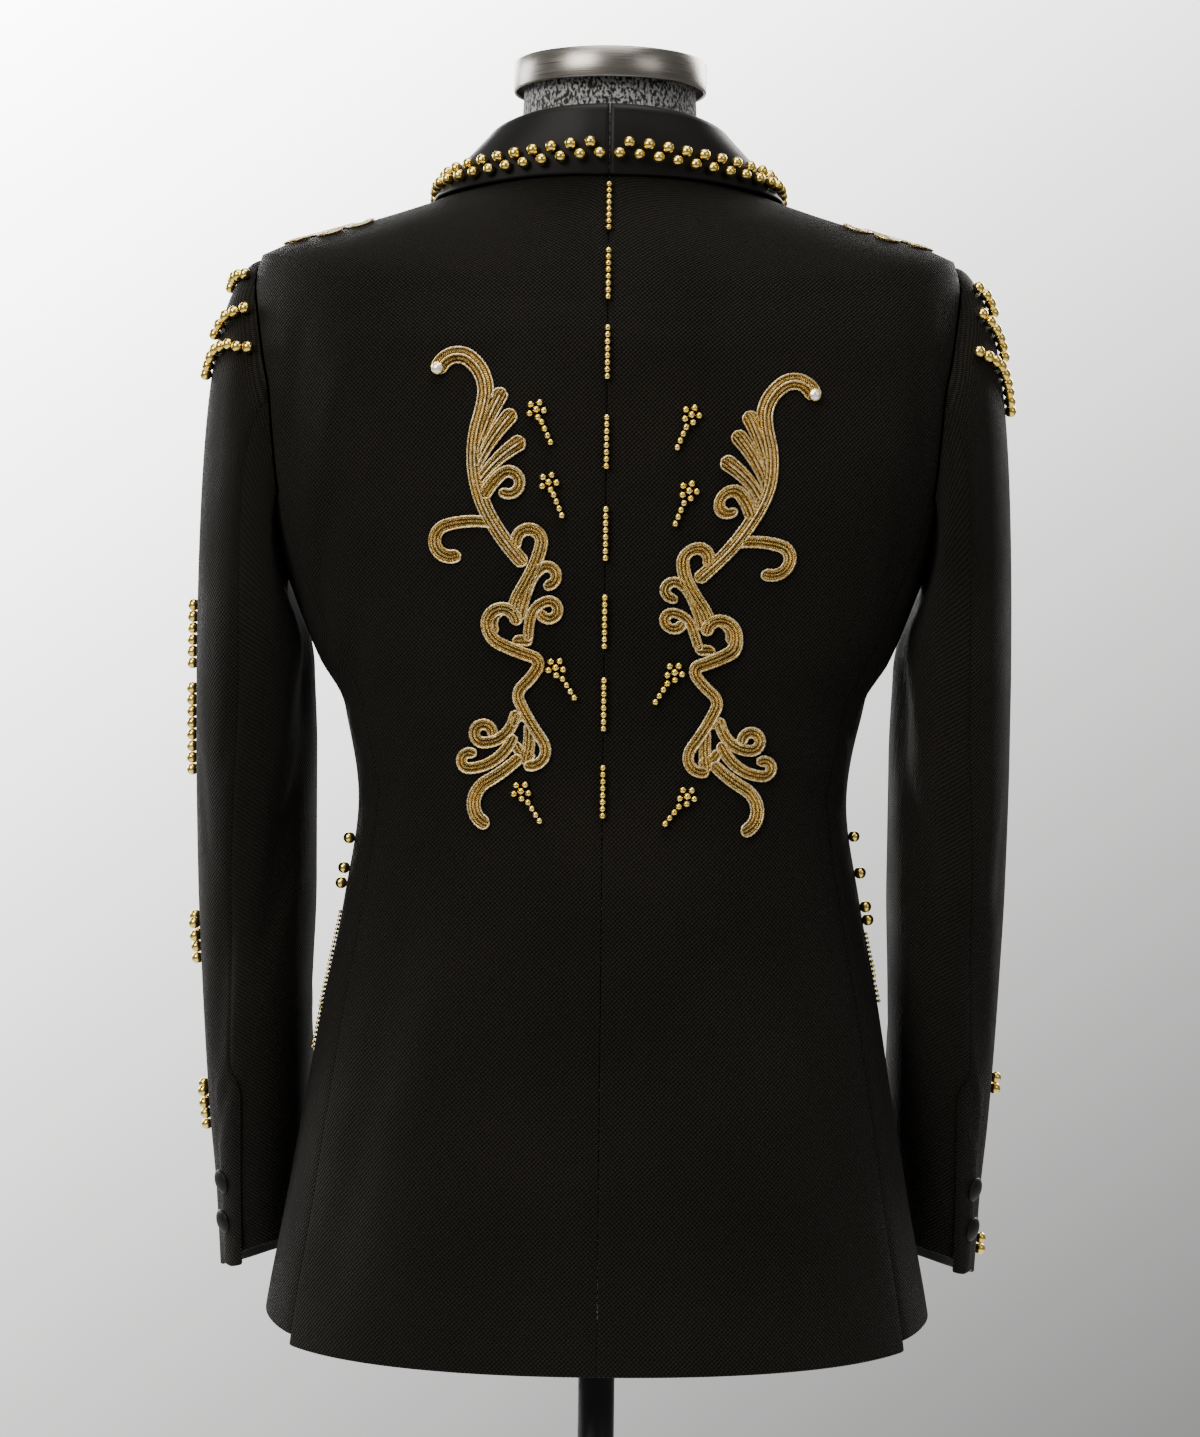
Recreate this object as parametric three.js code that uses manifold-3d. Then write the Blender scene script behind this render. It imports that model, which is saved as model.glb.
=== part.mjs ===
// A tuxedo jacket on a limbless dress form, in millimetres.
// The floor is z = 0, the origin is the middle of the base's underside, the jacket's front faces -Y,
// and the wearer's left is +X.
import * as THREE from "three";
import { mergeVertices } from "three/addons/utils/BufferGeometryUtils.js";
import Module from "manifold-3d";

const wasm = await Module();
wasm.setup();

// Cloth, seams and beads
const cloth = 2;
const seamGap = 0.3;
const layGap = 0.45;
const largeBead = 3.4;

// Heights that the panels share
const sideHem = 758;
const seamTop = 1235;
const shoulderTip = 1378;
const neckSeam = 1427;
const breakHeight = 1082;
const underarmDip = 50;

// Rows of the panels, as heights at the side: body below the armhole, armhole, shoulder
const bodyRows = [sideHem, 795, 845, 895, 945, 995, 1045, 1090, 1130, 1165, 1200, seamTop];
const armholeRows = [1262, 1290, 1315, 1337, 1355, 1368, shoulderTip];
const shoulderRows = [1387, 1397, 1408, 1418, neckSeam];

// One row for each ring of the body: its height at the side, half width, depths behind and before
// its middle, the middle's y, the roundness, and how far it drops at the centre back and front.
const bodyRings = [
  { at: 730, half: 201, back: 137, front: 151, middle: 0, round: 2.25, backDrop: 0, frontDrop: 0 },
  { at: 758, half: 197, back: 134, front: 148, middle: 0, round: 2.25, backDrop: 0, frontDrop: 0 },
  { at: 815, half: 187, back: 127, front: 141, middle: 0, round: 2.25, backDrop: 0, frontDrop: 0 },
  { at: 875, half: 177, back: 120, front: 135, middle: 0, round: 2.3, backDrop: 0, frontDrop: 0 },
  { at: 935, half: 167, back: 112, front: 129, middle: 0, round: 2.3, backDrop: 0, frontDrop: 0 },
  { at: 995, half: 155, back: 102, front: 122, middle: 0, round: 2.35, backDrop: 0, frontDrop: 0 },
  { at: 1055, half: 146, back: 94, front: 117, middle: 0, round: 2.4, backDrop: 0, frontDrop: 0 },
  { at: 1115, half: 157, back: 97, front: 119, middle: 0, round: 2.4, backDrop: 0, frontDrop: 0 },
  { at: 1138, half: 170, back: 99, front: 121, middle: 0, round: 2.4, backDrop: 0, frontDrop: 0 },
  { at: 1185, half: 189, back: 103, front: 124, middle: 0, round: 2.4, backDrop: 0, frontDrop: 0 },
  { at: 1220, half: 201, back: 105, front: 125, middle: 0, round: 2.4, backDrop: 0, frontDrop: 0 },
  { at: 1262, half: 210, back: 107, front: 124, middle: -1, round: 2.45, backDrop: 0, frontDrop: 0 },
  { at: 1320, half: 214, back: 108, front: 111, middle: -4, round: 2.5, backDrop: -4, frontDrop: -14 },
  { at: 1350, half: 213, back: 105.5, front: 105, middle: -6, round: 2.5, backDrop: -16, frontDrop: -30 },
  { at: 1378, half: 208, back: 102, front: 95, middle: -8, round: 2.5, backDrop: -28, frontDrop: -44 },
  { at: 1396, half: 155, back: 90, front: 79, middle: -7, round: 2.4, backDrop: -22, frontDrop: -34 },
  { at: 1413, half: 103, back: 72, front: 64, middle: -6, round: 2.25, backDrop: -11, frontDrop: -27 },
  { at: 1427, half: 72, back: 59, front: 47, middle: -5, round: 2.1, backDrop: -2, frontDrop: -25 },
];

// The armhole's edge: where the back and the front panel end, by height.
const armhole = [
  { at: 1235, back: 47, front: -50 },
  { at: 1262, back: 50, front: -52 },
  { at: 1290, back: 50, front: -51 },
  { at: 1315, back: 44, front: -46 },
  { at: 1337, back: 35, front: -38 },
  { at: 1355, back: 23, front: -29 },
  { at: 1368, back: 9, front: -20 },
  { at: 1378, back: -8, front: -8 },
];

// Seams between the back, the side body and the front, as degrees round from the centre back.
const seamAngles = [
  { at: 730, back: 62, front: 108 },
  { at: 900, back: 62, front: 108 },
  { at: 1055, back: 63, front: 109 },
  { at: 1235, back: 67.9, front: 109.5 },
];

// The front's edge below the lapel, as x on the wearer's left.
const frontEdge = [
  { at: 730, x: 62 },
  { at: 758, x: 40 },
  { at: 795, x: 14 },
  { at: 845, x: -6 },
  { at: 895, x: -15 },
  { at: 945, x: -18 },
  { at: 1045, x: -18 },
  { at: 1064, x: -10 },
  { at: 1082, x: 9 },
];
const rollLine = { lowX: 9, lowZ: breakHeight, highX: 70, highZ: 1425 };

// The collar round the neck: station angle, angle and row of its outer edge, and height of its fold.
const collarStations = [
  { angle: 0, edgeAngle: 0, edgeRow: 1424, fold: 38 },
  { angle: 10, edgeAngle: 11, edgeRow: 1424, fold: 37.5 },
  { angle: 20, edgeAngle: 22, edgeRow: 1423.5, fold: 36.5 },
  { angle: 30, edgeAngle: 33, edgeRow: 1422.5, fold: 35 },
  { angle: 40, edgeAngle: 43, edgeRow: 1421, fold: 33 },
  { angle: 50, edgeAngle: 53, edgeRow: 1419, fold: 30.5 },
  { angle: 60, edgeAngle: 62, edgeRow: 1417, fold: 28 },
  { angle: 70, edgeAngle: 71, edgeRow: 1415, fold: 25 },
  { angle: 80, edgeAngle: 81, edgeRow: 1413.5, fold: 22 },
  { angle: 90, edgeAngle: 91, edgeRow: 1412.5, fold: 19 },
];

// The lapel, by the height of the panel's edge row: width, and height of its fold off the panel.
const lapelStations = [
  { at: 1082, width: 5, fold: 7.5 },
  { at: 1100, width: 24, fold: 8.2 },
  { at: 1130, width: 50, fold: 8.6 },
  { at: 1165, width: 67, fold: 8.6 },
  { at: 1200, width: 76, fold: 8.6 },
  { at: 1250, width: 79, fold: 8.6 },
  { at: 1315, width: 74, fold: 9 },
  { at: 1355, width: 66, fold: 9.6 },
  { at: 1390, width: 54, fold: 11 },
  { at: 1410, width: 46, fold: 13 },
  { at: 1427, width: 40, fold: 16 },
];

// One row for each ring of the sleeve, by height: outer and inner x, the middle's y, half depth.
const sleeveRings = [
  { at: 1130, outer: 244.5, inner: 174.5, middle: -10, depth: 67 },
  { at: 1085, outer: 244.5, inner: 173, middle: -13, depth: 66 },
  { at: 1007, outer: 243.5, inner: 173, middle: -20, depth: 64 },
  { at: 950, outer: 242, inner: 175, middle: -31, depth: 62 },
  { at: 905, outer: 241, inner: 176, middle: -45, depth: 60 },
  { at: 860, outer: 239.5, inner: 177, middle: -60, depth: 58 },
  { at: 815, outer: 237, inner: 180.5, middle: -76, depth: 56 },
  { at: 770, outer: 235.5, inner: 182.5, middle: -91, depth: 54 },
];
const sleeveTable = [...sleeveRings].reverse();
const capSteps = [0, 0.1, 0.22, 0.36, 0.52, 0.7, 0.86, 1];
const sleeveTop = 1130;
const sleeveRowHeight = 45;
const sleeveRows = Array.from({ length: 8 }, (_, i) => sleeveTop - sleeveRowHeight * (i + 1));
const cuffRow = sleeveRows[sleeveRows.length - 1];
const cuff = { outDrop: 10, backRise: 9, flap: 7 };
const sleeveSeams = { back: 5, front: 13, backLow: 58, backHigh: 84, frontAngle: 226 };

// Soft creases of the sleeves: place round, top and bottom height, depth, half width, slant.
const sleeveFolds = [
  { round: 150, high: 1165, low: 1010, depth: 5, wide: 16, slant: 45 },
  { round: 118, high: 1080, low: 940, depth: 4, wide: 15, slant: 38 },
  { round: 62, high: 1010, low: 880, depth: 3, wide: 15, slant: 30 },
  { round: 255, high: 1120, low: 960, depth: 4, wide: 16, slant: -35 },
];

const rad = THREE.MathUtils.degToRad;
const vec = (x, y, z) => new THREE.Vector3(x, y, z);
const lerp = THREE.MathUtils.lerp;
const group = new THREE.Group();

// A column of a table at any place between its rows, as a smooth curve that never overshoots.
function readTable(table, column, at) {
  const n = table.length;
  if (at <= table[0].at) return table[0][column];
  if (at >= table[n - 1].at) return table[n - 1][column];
  const slope = (i) => (table[i + 1][column] - table[i][column]) / (table[i + 1].at - table[i].at);
  const tangent = (i) => {
    if (i === 0) return slope(0);
    if (i === n - 1) return slope(n - 2);
    const before = slope(i - 1);
    const after = slope(i);
    return before * after <= 0 ? 0 : (2 * before * after) / (before + after);
  };
  let i = 0;
  while (at > table[i + 1].at) i += 1;
  const step = table[i + 1].at - table[i].at;
  const t = (at - table[i].at) / step;
  return (
    (2 * t ** 3 - 3 * t ** 2 + 1) * table[i][column] +
    (t ** 3 - 2 * t ** 2 + t) * step * tangent(i) +
    (-2 * t ** 3 + 3 * t ** 2) * table[i + 1][column] +
    (t ** 3 - t ** 2) * step * tangent(i + 1)
  );
}

function ringAt(row) {
  const ring = {};
  for (const column of Object.keys(bodyRings[0])) ring[column] = readTable(bodyRings, column, row);
  return ring;
}

// A point of the jacket's outer surface: side is 1 on the wearer's left and -1 on the right,
// and the angle runs from the centre back over the side to the centre front.
function bodyPoint(side, angle, row) {
  const ring = ringAt(row);
  const s = Math.sin(angle);
  const c = Math.cos(angle);
  const x = ring.half * Math.sign(s) * Math.abs(s) ** (2 / ring.round);
  const deep = c >= 0 ? ring.back : ring.front;
  const y = ring.middle + deep * Math.sign(c) * Math.abs(c) ** (2 / ring.round);
  const drop = c >= 0 ? ring.backDrop : ring.frontDrop;
  return vec(side * x, y, row + drop * c * c);
}

function bodyNormal(side, angle, row) {
  const turn = 0.02;
  const rise = 1.5;
  const round = bodyPoint(side, angle + turn, row).sub(bodyPoint(side, angle - turn, row));
  const high = Math.min(row + rise, neckSeam);
  const up = bodyPoint(side, angle, high).sub(bodyPoint(side, angle, high - 2 * rise));
  return up.cross(round).multiplyScalar(side).normalize();
}

// The angle at which a ring passes a given y behind or before its middle.
function angleAtY(row, y) {
  const ring = ringAt(row);
  const off = y - ring.middle;
  const share = Math.min(Math.abs(off) / (off >= 0 ? ring.back : ring.front), 1);
  const angle = Math.acos(share ** (ring.round / 2));
  return off >= 0 ? angle : Math.PI - angle;
}

// The angle at which the front half of a ring passes a given x.
function angleAtX(row, x) {
  const ring = ringAt(row);
  const share = Math.min(Math.abs(x) / ring.half, 1);
  return Math.PI - Math.sign(x) * Math.asin(share ** (ring.round / 2));
}

function bisect(low, high, test) {
  let a = low;
  let b = high;
  for (let i = 0; i < 40; i += 1) {
    const mid = (a + b) / 2;
    if (test(mid)) a = mid;
    else b = mid;
  }
  return (a + b) / 2;
}

// The place on the front or back of the jacket that shows at x and z.
function placeOn(face, x, z) {
  const turned = (row) => {
    const angle = angleAtX(row, x);
    return face === "front" ? angle : Math.PI - angle;
  };
  const highest = bisect(1320, neckSeam, (row) => ringAt(row).half > Math.abs(x));
  const row = bisect(700, highest, (at) => bodyPoint(1, turned(at), at).z < z);
  return { angle: turned(row), row };
}

// The front panel's free edge: the roll line above the button, the cut edge below it.
function frontEdgeAngle(row) {
  if (row <= breakHeight) return angleAtX(row, readTable(frontEdge, "x", row));
  const slope = (rollLine.highX - rollLine.lowX) / (rollLine.highZ - rollLine.lowZ);
  return bisect(Math.PI / 2, Math.PI * 1.1, (angle) => {
    const point = bodyPoint(1, angle, row);
    return point.x > rollLine.lowX + (point.z - rollLine.lowZ) * slope;
  });
}

function backSeamAngle(row) {
  return rad(readTable(seamAngles, "back", row));
}

function frontSeamAngle(row) {
  return rad(readTable(seamAngles, "front", row));
}

// A closed wall between an outer and an inner grid of points.
function wallGeometry(outer, inner) {
  const rows = outer.length;
  const cols = outer[0].length;
  const positions = [...outer.flat(), ...inner.flat()].flatMap((p) => [p.x, p.y, p.z]);
  const index = [];
  const at = (layer, r, c) => layer * rows * cols + r * cols + c;
  const quad = (a, b, c, d) => index.push(a, b, c, a, c, d);
  for (let r = 0; r < rows - 1; r += 1) {
    for (let c = 0; c < cols - 1; c += 1) {
      quad(at(0, r, c), at(0, r, c + 1), at(0, r + 1, c + 1), at(0, r + 1, c));
      quad(at(1, r, c), at(1, r + 1, c), at(1, r + 1, c + 1), at(1, r, c + 1));
    }
  }
  for (let c = 0; c < cols - 1; c += 1) {
    quad(at(0, 0, c), at(1, 0, c), at(1, 0, c + 1), at(0, 0, c + 1));
    quad(at(0, rows - 1, c), at(0, rows - 1, c + 1), at(1, rows - 1, c + 1), at(1, rows - 1, c));
  }
  for (let r = 0; r < rows - 1; r += 1) {
    quad(at(0, r, 0), at(0, r + 1, 0), at(1, r + 1, 0), at(1, r, 0));
    quad(at(0, r, cols - 1), at(1, r, cols - 1), at(1, r + 1, cols - 1), at(0, r + 1, cols - 1));
  }
  return facingOut(positions, index);
}

// A closed solid from a stack of rings, each with the same number of points.
function stackGeometry(rings) {
  const cols = rings[0].length;
  const positions = rings.flat().flatMap((p) => [p.x, p.y, p.z]);
  const index = [];
  for (let r = 0; r < rings.length - 1; r += 1) {
    for (let c = 0; c < cols; c += 1) {
      const next = (c + 1) % cols;
      const a = r * cols + c;
      const b = r * cols + next;
      index.push(a, b, b + cols, a, b + cols, a + cols);
    }
  }
  for (const [start, flip] of [[0, true], [(rings.length - 1) * cols, false]]) {
    for (let c = 1; c < cols - 1; c += 1) {
      if (flip) index.push(start, start + c + 1, start + c);
      else index.push(start, start + c, start + c + 1);
    }
  }
  return facingOut(positions, index);
}

function facingOut(positions, index) {
  const p = (i) => vec(positions[3 * i], positions[3 * i + 1], positions[3 * i + 2]);
  let volume = 0;
  for (let i = 0; i < index.length; i += 3) {
    volume += p(index[i]).dot(p(index[i + 1]).cross(p(index[i + 2])));
  }
  if (volume < 0) index.reverse();
  const geometry = new THREE.BufferGeometry();
  geometry.setAttribute("position", new THREE.Float32BufferAttribute(positions, 3));
  geometry.setIndex(index);
  return geometry;
}

function solidOf(geometry) {
  const bare = geometry.clone();
  bare.deleteAttribute("normal");
  bare.deleteAttribute("uv");
  const merged = mergeVertices(bare, 1e-4);
  return new wasm.Manifold(
    new wasm.Mesh({
      numProp: 3,
      vertProperties: merged.attributes.position.array,
      triVerts: new Uint32Array(merged.index.array),
    }),
  );
}

function geometryOf(solid) {
  const mesh = solid.getMesh();
  const geometry = new THREE.BufferGeometry();
  geometry.setAttribute("position", new THREE.BufferAttribute(mesh.vertProperties, 3));
  geometry.setIndex(new THREE.BufferAttribute(mesh.triVerts, 1));
  return geometry;
}

function addPiece(name, geometry, material) {
  geometry.computeVertexNormals();
  const mesh = new THREE.Mesh(geometry, material);
  mesh.name = name;
  group.add(mesh);
}

const finish = (color, roughness, metalness) =>
  new THREE.MeshStandardMaterial({ color, roughness, metalness });

// A panel of the body: rows of points between two edges, with half a seam's gap kept at each side.
function panelPlaces(rows, columns, startAngle, endAngle, rowAt) {
  return rows.map((row) =>
    Array.from({ length: columns + 1 }, (_, c) => {
      const share = c / columns;
      const angle = lerp(startAngle(row), endAngle(row), share);
      return { angle, row: rowAt ? rowAt(row, share) : row };
    }),
  );
}

function panelGrids(side, places) {
  const columns = places[0].length - 1;
  const grids = { outer: [], inner: [] };
  for (const line of places) {
    const outer = [];
    const inner = [];
    line.forEach((place, c) => {
      const ahead = bodyPoint(side, place.angle + 0.01, place.row);
      const behind = bodyPoint(side, place.angle - 0.01, place.row);
      const perAngle = ahead.sub(behind).length() / 0.02;
      const shift = c === 0 ? seamGap / 2 : c === columns ? -seamGap / 2 : 0;
      const angle = place.angle + shift / perAngle;
      const normal = bodyNormal(side, angle, place.row);
      const point = bodyPoint(side, angle, place.row);
      point.addScaledVector(normal, overlapLift(side, place));
      outer.push(point);
      inner.push(point.clone().addScaledVector(normal, -cloth));
    });
    grids.outer.push(outer);
    grids.inner.push(inner);
  }
  return grids;
}

// The hem falls a little towards the centre back and curves up towards the cutaway front.
function hemRow(row, share, low) {
  const reach = 1 - Math.min((row - sideHem) / (895 - sideHem), 1);
  return row - low(share) * reach;
}

const armholeSpan = [...bodyRows, ...armholeRows, ...shoulderRows];

function backEnd(row) {
  if (row <= seamTop) return backSeamAngle(row);
  return row < shoulderTip ? angleAtY(row, readTable(armhole, "back", row)) : Math.PI / 2;
}

function frontStart(row) {
  if (row <= seamTop) return frontSeamAngle(row);
  return row < shoulderTip ? angleAtY(row, readTable(armhole, "front", row)) : Math.PI / 2;
}

const backPlaces = panelPlaces(armholeSpan, 9, () => 0, backEnd, (row, share) =>
  hemRow(row, share, (s) => 22 - 4 * s * s),
);
const sidePlaces = panelPlaces(bodyRows, 6, backSeamAngle, frontSeamAngle, (row, share) => {
  const dip = underarmDip * Math.sin(Math.PI * share) ** 1.3;
  const reach = Math.max((row - 1045) / (seamTop - 1045), 0);
  return hemRow(row, share, (s) => 12 * (1 - s)) - dip * reach;
});
const frontPlaces = panelPlaces(armholeSpan, 8, frontStart, frontEdgeAngle, (row, share) =>
  hemRow(row, share, (s) => -14 * Math.max(s - 0.75, 0) / 0.25),
);
// The left front lies over the right one below the lapels.
function overlapLift(side, { angle, row }) {
  if (side < 0) return 0;
  const across = THREE.MathUtils.smoothstep(angle, rad(158), rad(170));
  return 2.6 * across * (1 - THREE.MathUtils.smoothstep(row, 1078, 1112));
}

const wool = finish(0x17181b, 0.85, 0);
const satin = finish(0x0c0c0e, 0.35, 0);
const thread = finish(0x8a6a35, 0.5, 0.6);

const beadSunk = 0.5;
const beadShape = new THREE.ConeGeometry(largeBead * 1.12, largeBead * 1.5, 4, 1);
beadShape.rotateX(Math.PI / 2);
beadShape.translate(0, 0, largeBead * 0.75 - beadSunk);

function withBeads(geometry, spots) {
  let solid = solidOf(geometry);
  for (const spot of spots) {
    const bead = beadShape.clone();
    const turn = new THREE.Quaternion().setFromUnitVectors(vec(0, 0, 1), spot.normal);
    bead.applyQuaternion(turn);
    bead.translate(spot.point.x, spot.point.y, spot.point.z);
    solid = solid.add(solidOf(bead));
  }
  return geometryOf(solid);
}

// Large beads on the side bodies and fronts near the waist, by side, angle and height.
const sideBalls = {
  left: [
    { angle: 84, row: 1031 },
    { angle: 86, row: 1013 },
    { angle: 86, row: 1004 },
  ],
  right: [
    { angle: 84, row: 1035 },
    { angle: 86, row: 1013 },
    { angle: 86, row: 993 },
    { angle: 87, row: 985 },
  ],
};

const sides = [
  { name: "left", side: 1 },
  { name: "right", side: -1 },
];

for (const { name, side } of sides) {
  const back = panelGrids(side, backPlaces);
  addPiece("back_" + name, wallGeometry(back.outer, back.inner), wool);
  const flank = panelGrids(side, sidePlaces);
  const balls = sideBalls[name].map(({ angle, row }) => ({
    point: bodyPoint(side, rad(angle), row),
    normal: bodyNormal(side, rad(angle), row),
  }));
  addPiece("side_" + name, withBeads(wallGeometry(flank.outer, flank.inner), balls), wool);
  const front = panelGrids(side, frontPlaces);
  addPiece("front_" + name, wallGeometry(front.outer, front.inner), wool);
}

// The armhole's edge as a loop from the shoulder tip down the back, under the arm and up the front.
function armholeLoop() {
  const backRows = [...armholeRows].reverse();
  const frontRows = armholeRows.slice(0, -1);
  const bottom = sidePlaces[sidePlaces.length - 1];
  return [
    ...backRows.map((row) => ({ angle: backEnd(row), row })),
    ...bottom,
    ...frontRows.map((row) => ({ angle: frontStart(row), row })),
  ];
}

const loop = armholeLoop();
const loopMiddle = { y: 0, z: 1282 };

function loopPoint(side, k) {
  const { angle, row } = loop[k];
  const point = bodyPoint(side, angle, row);
  const normal = bodyNormal(side, angle, row);
  const inward = vec(point.x, loopMiddle.y, loopMiddle.z).sub(point);
  inward.addScaledVector(normal, -inward.dot(normal)).normalize();
  return point.addScaledVector(normal, layGap).addScaledVector(inward, seamGap + 0.05);
}

// How far round the sleeve each lengthwise line runs: 0 outside, 90 behind, 180 inside, 270 before.
function lineAngle(k, down) {
  const backSeam = lerp(sleeveSeams.backHigh, sleeveSeams.backLow, down);
  const stops = [
    { k: 0, angle: 0 },
    { k: sleeveSeams.back, angle: backSeam },
    { k: sleeveSeams.front, angle: sleeveSeams.frontAngle },
    { k: loop.length, angle: 360 },
  ];
  const i = k <= sleeveSeams.back ? 0 : k <= sleeveSeams.front ? 1 : 2;
  const share = (k - stops[i].k) / (stops[i + 1].k - stops[i].k);
  return rad(lerp(stops[i].angle, stops[i + 1].angle, share));
}

function sleeveRingPoint(side, angle, height) {
  const outer = readTable(sleeveTable, "outer", height);
  const inner = readTable(sleeveTable, "inner", height);
  const c = Math.cos(angle);
  const s = Math.sin(angle);
  const round = 2.15;
  const x = (outer + inner) / 2 + ((outer - inner) / 2) * Math.sign(c) * Math.abs(c) ** (2 / round);
  const depth = readTable(sleeveTable, "depth", height);
  const y = readTable(sleeveTable, "middle", height) + depth * Math.sign(s) * Math.abs(s) ** (2 / round);
  return vec(side * x, y, height);
}

function foldDepth(degrees, height) {
  let sum = 0;
  for (const fold of sleeveFolds) {
    const along = (height - fold.low) / (fold.high - fold.low);
    if (along <= 0 || along >= 1) continue;
    const off = degrees - fold.round - fold.slant * (along - 0.5);
    sum += fold.depth * Math.sin(Math.PI * along) * Math.exp(-((off / fold.wide) ** 2));
  }
  return sum;
}

function sleeveGrid(side) {
  const rows = [];
  for (const t of capSteps) {
    rows.push(
      loop.map((_, k) => {
        const start = loopPoint(side, k);
        const end = sleeveRingPoint(side, lineAngle(k, 0), sleeveTop);
        const over = Math.atan2(start.y - loopMiddle.y, start.z - loopMiddle.z);
        const top = (1 + Math.cos(over)) / 2;
        const reach = start.z - sleeveTop;
        const lead = vec(side * (2 + 26 * top), 8 * Math.sin(over), -0.28 * reach * (1 - top) - 3);
        const a = start.clone().add(lead);
        const b = end.clone().add(vec(0, 0, 0.55 * reach));
        return new THREE.CubicBezierCurve3(start, a, b, end).getPoint(t);
      }),
    );
  }
  for (const height of sleeveRows) {
    const down = (sleeveTop - height) / (sleeveTop - cuffRow);
    rows.push(
      loop.map((_, k) => {
        const angle = lineAngle(k, down);
        const point = sleeveRingPoint(side, angle, height);
        if (height === cuffRow) point.z += cuff.backRise * Math.sin(angle) - cuff.outDrop * Math.cos(angle);
        return point;
      }),
    );
  }
  return rows;
}

// The outward normal of a closed tube grid, from its neighbours round and along.
function tubeNormal(side, grid, r, k) {
  const n = grid[0].length;
  const round = grid[r][(k + 1) % n].clone().sub(grid[r][(k - 1 + n) % n]);
  const low = grid[Math.min(r + 1, grid.length - 1)][k];
  const along = low.clone().sub(grid[Math.max(r - 1, 0)][k]);
  return round.cross(along).multiplyScalar(-side).normalize();
}

// Large beads on the sleeve heads, as arcs: lengthwise lines counted from the outside towards the
// back, and steps down from the armhole, at the arc's two ends.
const headArcs = {
  left: [
    { beads: 5, fromLine: 1.1, toLine: -0.1, fromStep: 0.6, toStep: 1.9 },
    { beads: 5, fromLine: 2.5, toLine: 1.45, fromStep: 0.7, toStep: 2.8 },
    { beads: 8, fromLine: 3.6, toLine: 1.1, fromStep: 0.9, toStep: 3.6 },
  ],
  right: [
    { beads: 4, fromLine: 1.1, toLine: 0.4, fromStep: 1.1, toStep: 2.4 },
    { beads: 6, fromLine: 2.1, toLine: 0.8, fromStep: 1.4, toStep: 3.2 },
    { beads: 9, fromLine: 3.2, toLine: 0.9, fromStep: 1.6, toStep: 3.9 },
  ],
};

// Large beads down the outside of the sleeves: lines by height, and clusters by their middle's height.
const outerBeads = {
  left: {
    lines: [
      { beads: 6, high: 1170, low: 1135 },
      { beads: 8, high: 1120, low: 1071 },
    ],
    clusters: [974, 869],
  },
  right: {
    lines: [
      { beads: 2, high: 886, low: 879 },
      { beads: 2, high: 782, low: 775 },
    ],
    clusters: [],
  },
};
const clusterBeads = [
  { line: 0, below: -8 },
  { line: 0.45, below: -4 },
  { line: -0.45, below: -4 },
  { line: 0.3, below: 4 },
  { line: -0.3, below: 4 },
  { line: 0, below: 11 },
  { line: 0, below: 18 },
];

const sleeveSurfaces = {};

// A place on a sleeve's outer grid, by its step down and its line round.
function sleeveSpot({ outer, normals }, step, line) {
  const r = Math.floor(step);
  const k = Math.floor(line);
  const next = (k + 1) % loop.length;
  const mix = (grid) => {
    const high = grid[r][k].clone().lerp(grid[r][next], line - k);
    const low = grid[r + 1][k].clone().lerp(grid[r + 1][next], line - k);
    return high.lerp(low, step - r);
  };
  return { point: mix(outer), normal: mix(normals).normalize() };
}

function outsideBeads(name) {
  const surface = sleeveSurfaces[name];
  const stepAt = (height) => capSteps.length - 1 + (sleeveTop - height) / sleeveRowHeight;
  const { lines, clusters } = outerBeads[name];
  const spots = lines.flatMap(({ beads, high, low }) =>
    Array.from({ length: beads }, (_, i) => sleeveSpot(surface, stepAt(lerp(high, low, i / (beads - 1))), 0)),
  );
  for (const height of clusters) {
    for (const { line, below } of clusterBeads) {
      const k = (line + loop.length) % loop.length;
      spots.push(sleeveSpot(surface, stepAt(height - below), k));
    }
  }
  return spots;
}

function headBeads(name) {
  return headArcs[name].flatMap(({ beads, fromLine, toLine, fromStep, toStep }) =>
    Array.from({ length: beads }, (_, i) => {
      const share = (i / (beads - 1)) ** 0.75;
      const line = lerp(fromLine, toLine, share ** 1.5);
      const k = (line + loop.length) % loop.length;
      return sleeveSpot(sleeveSurfaces[name], lerp(fromStep, toStep, share), k);
    }),
  );
}

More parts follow.
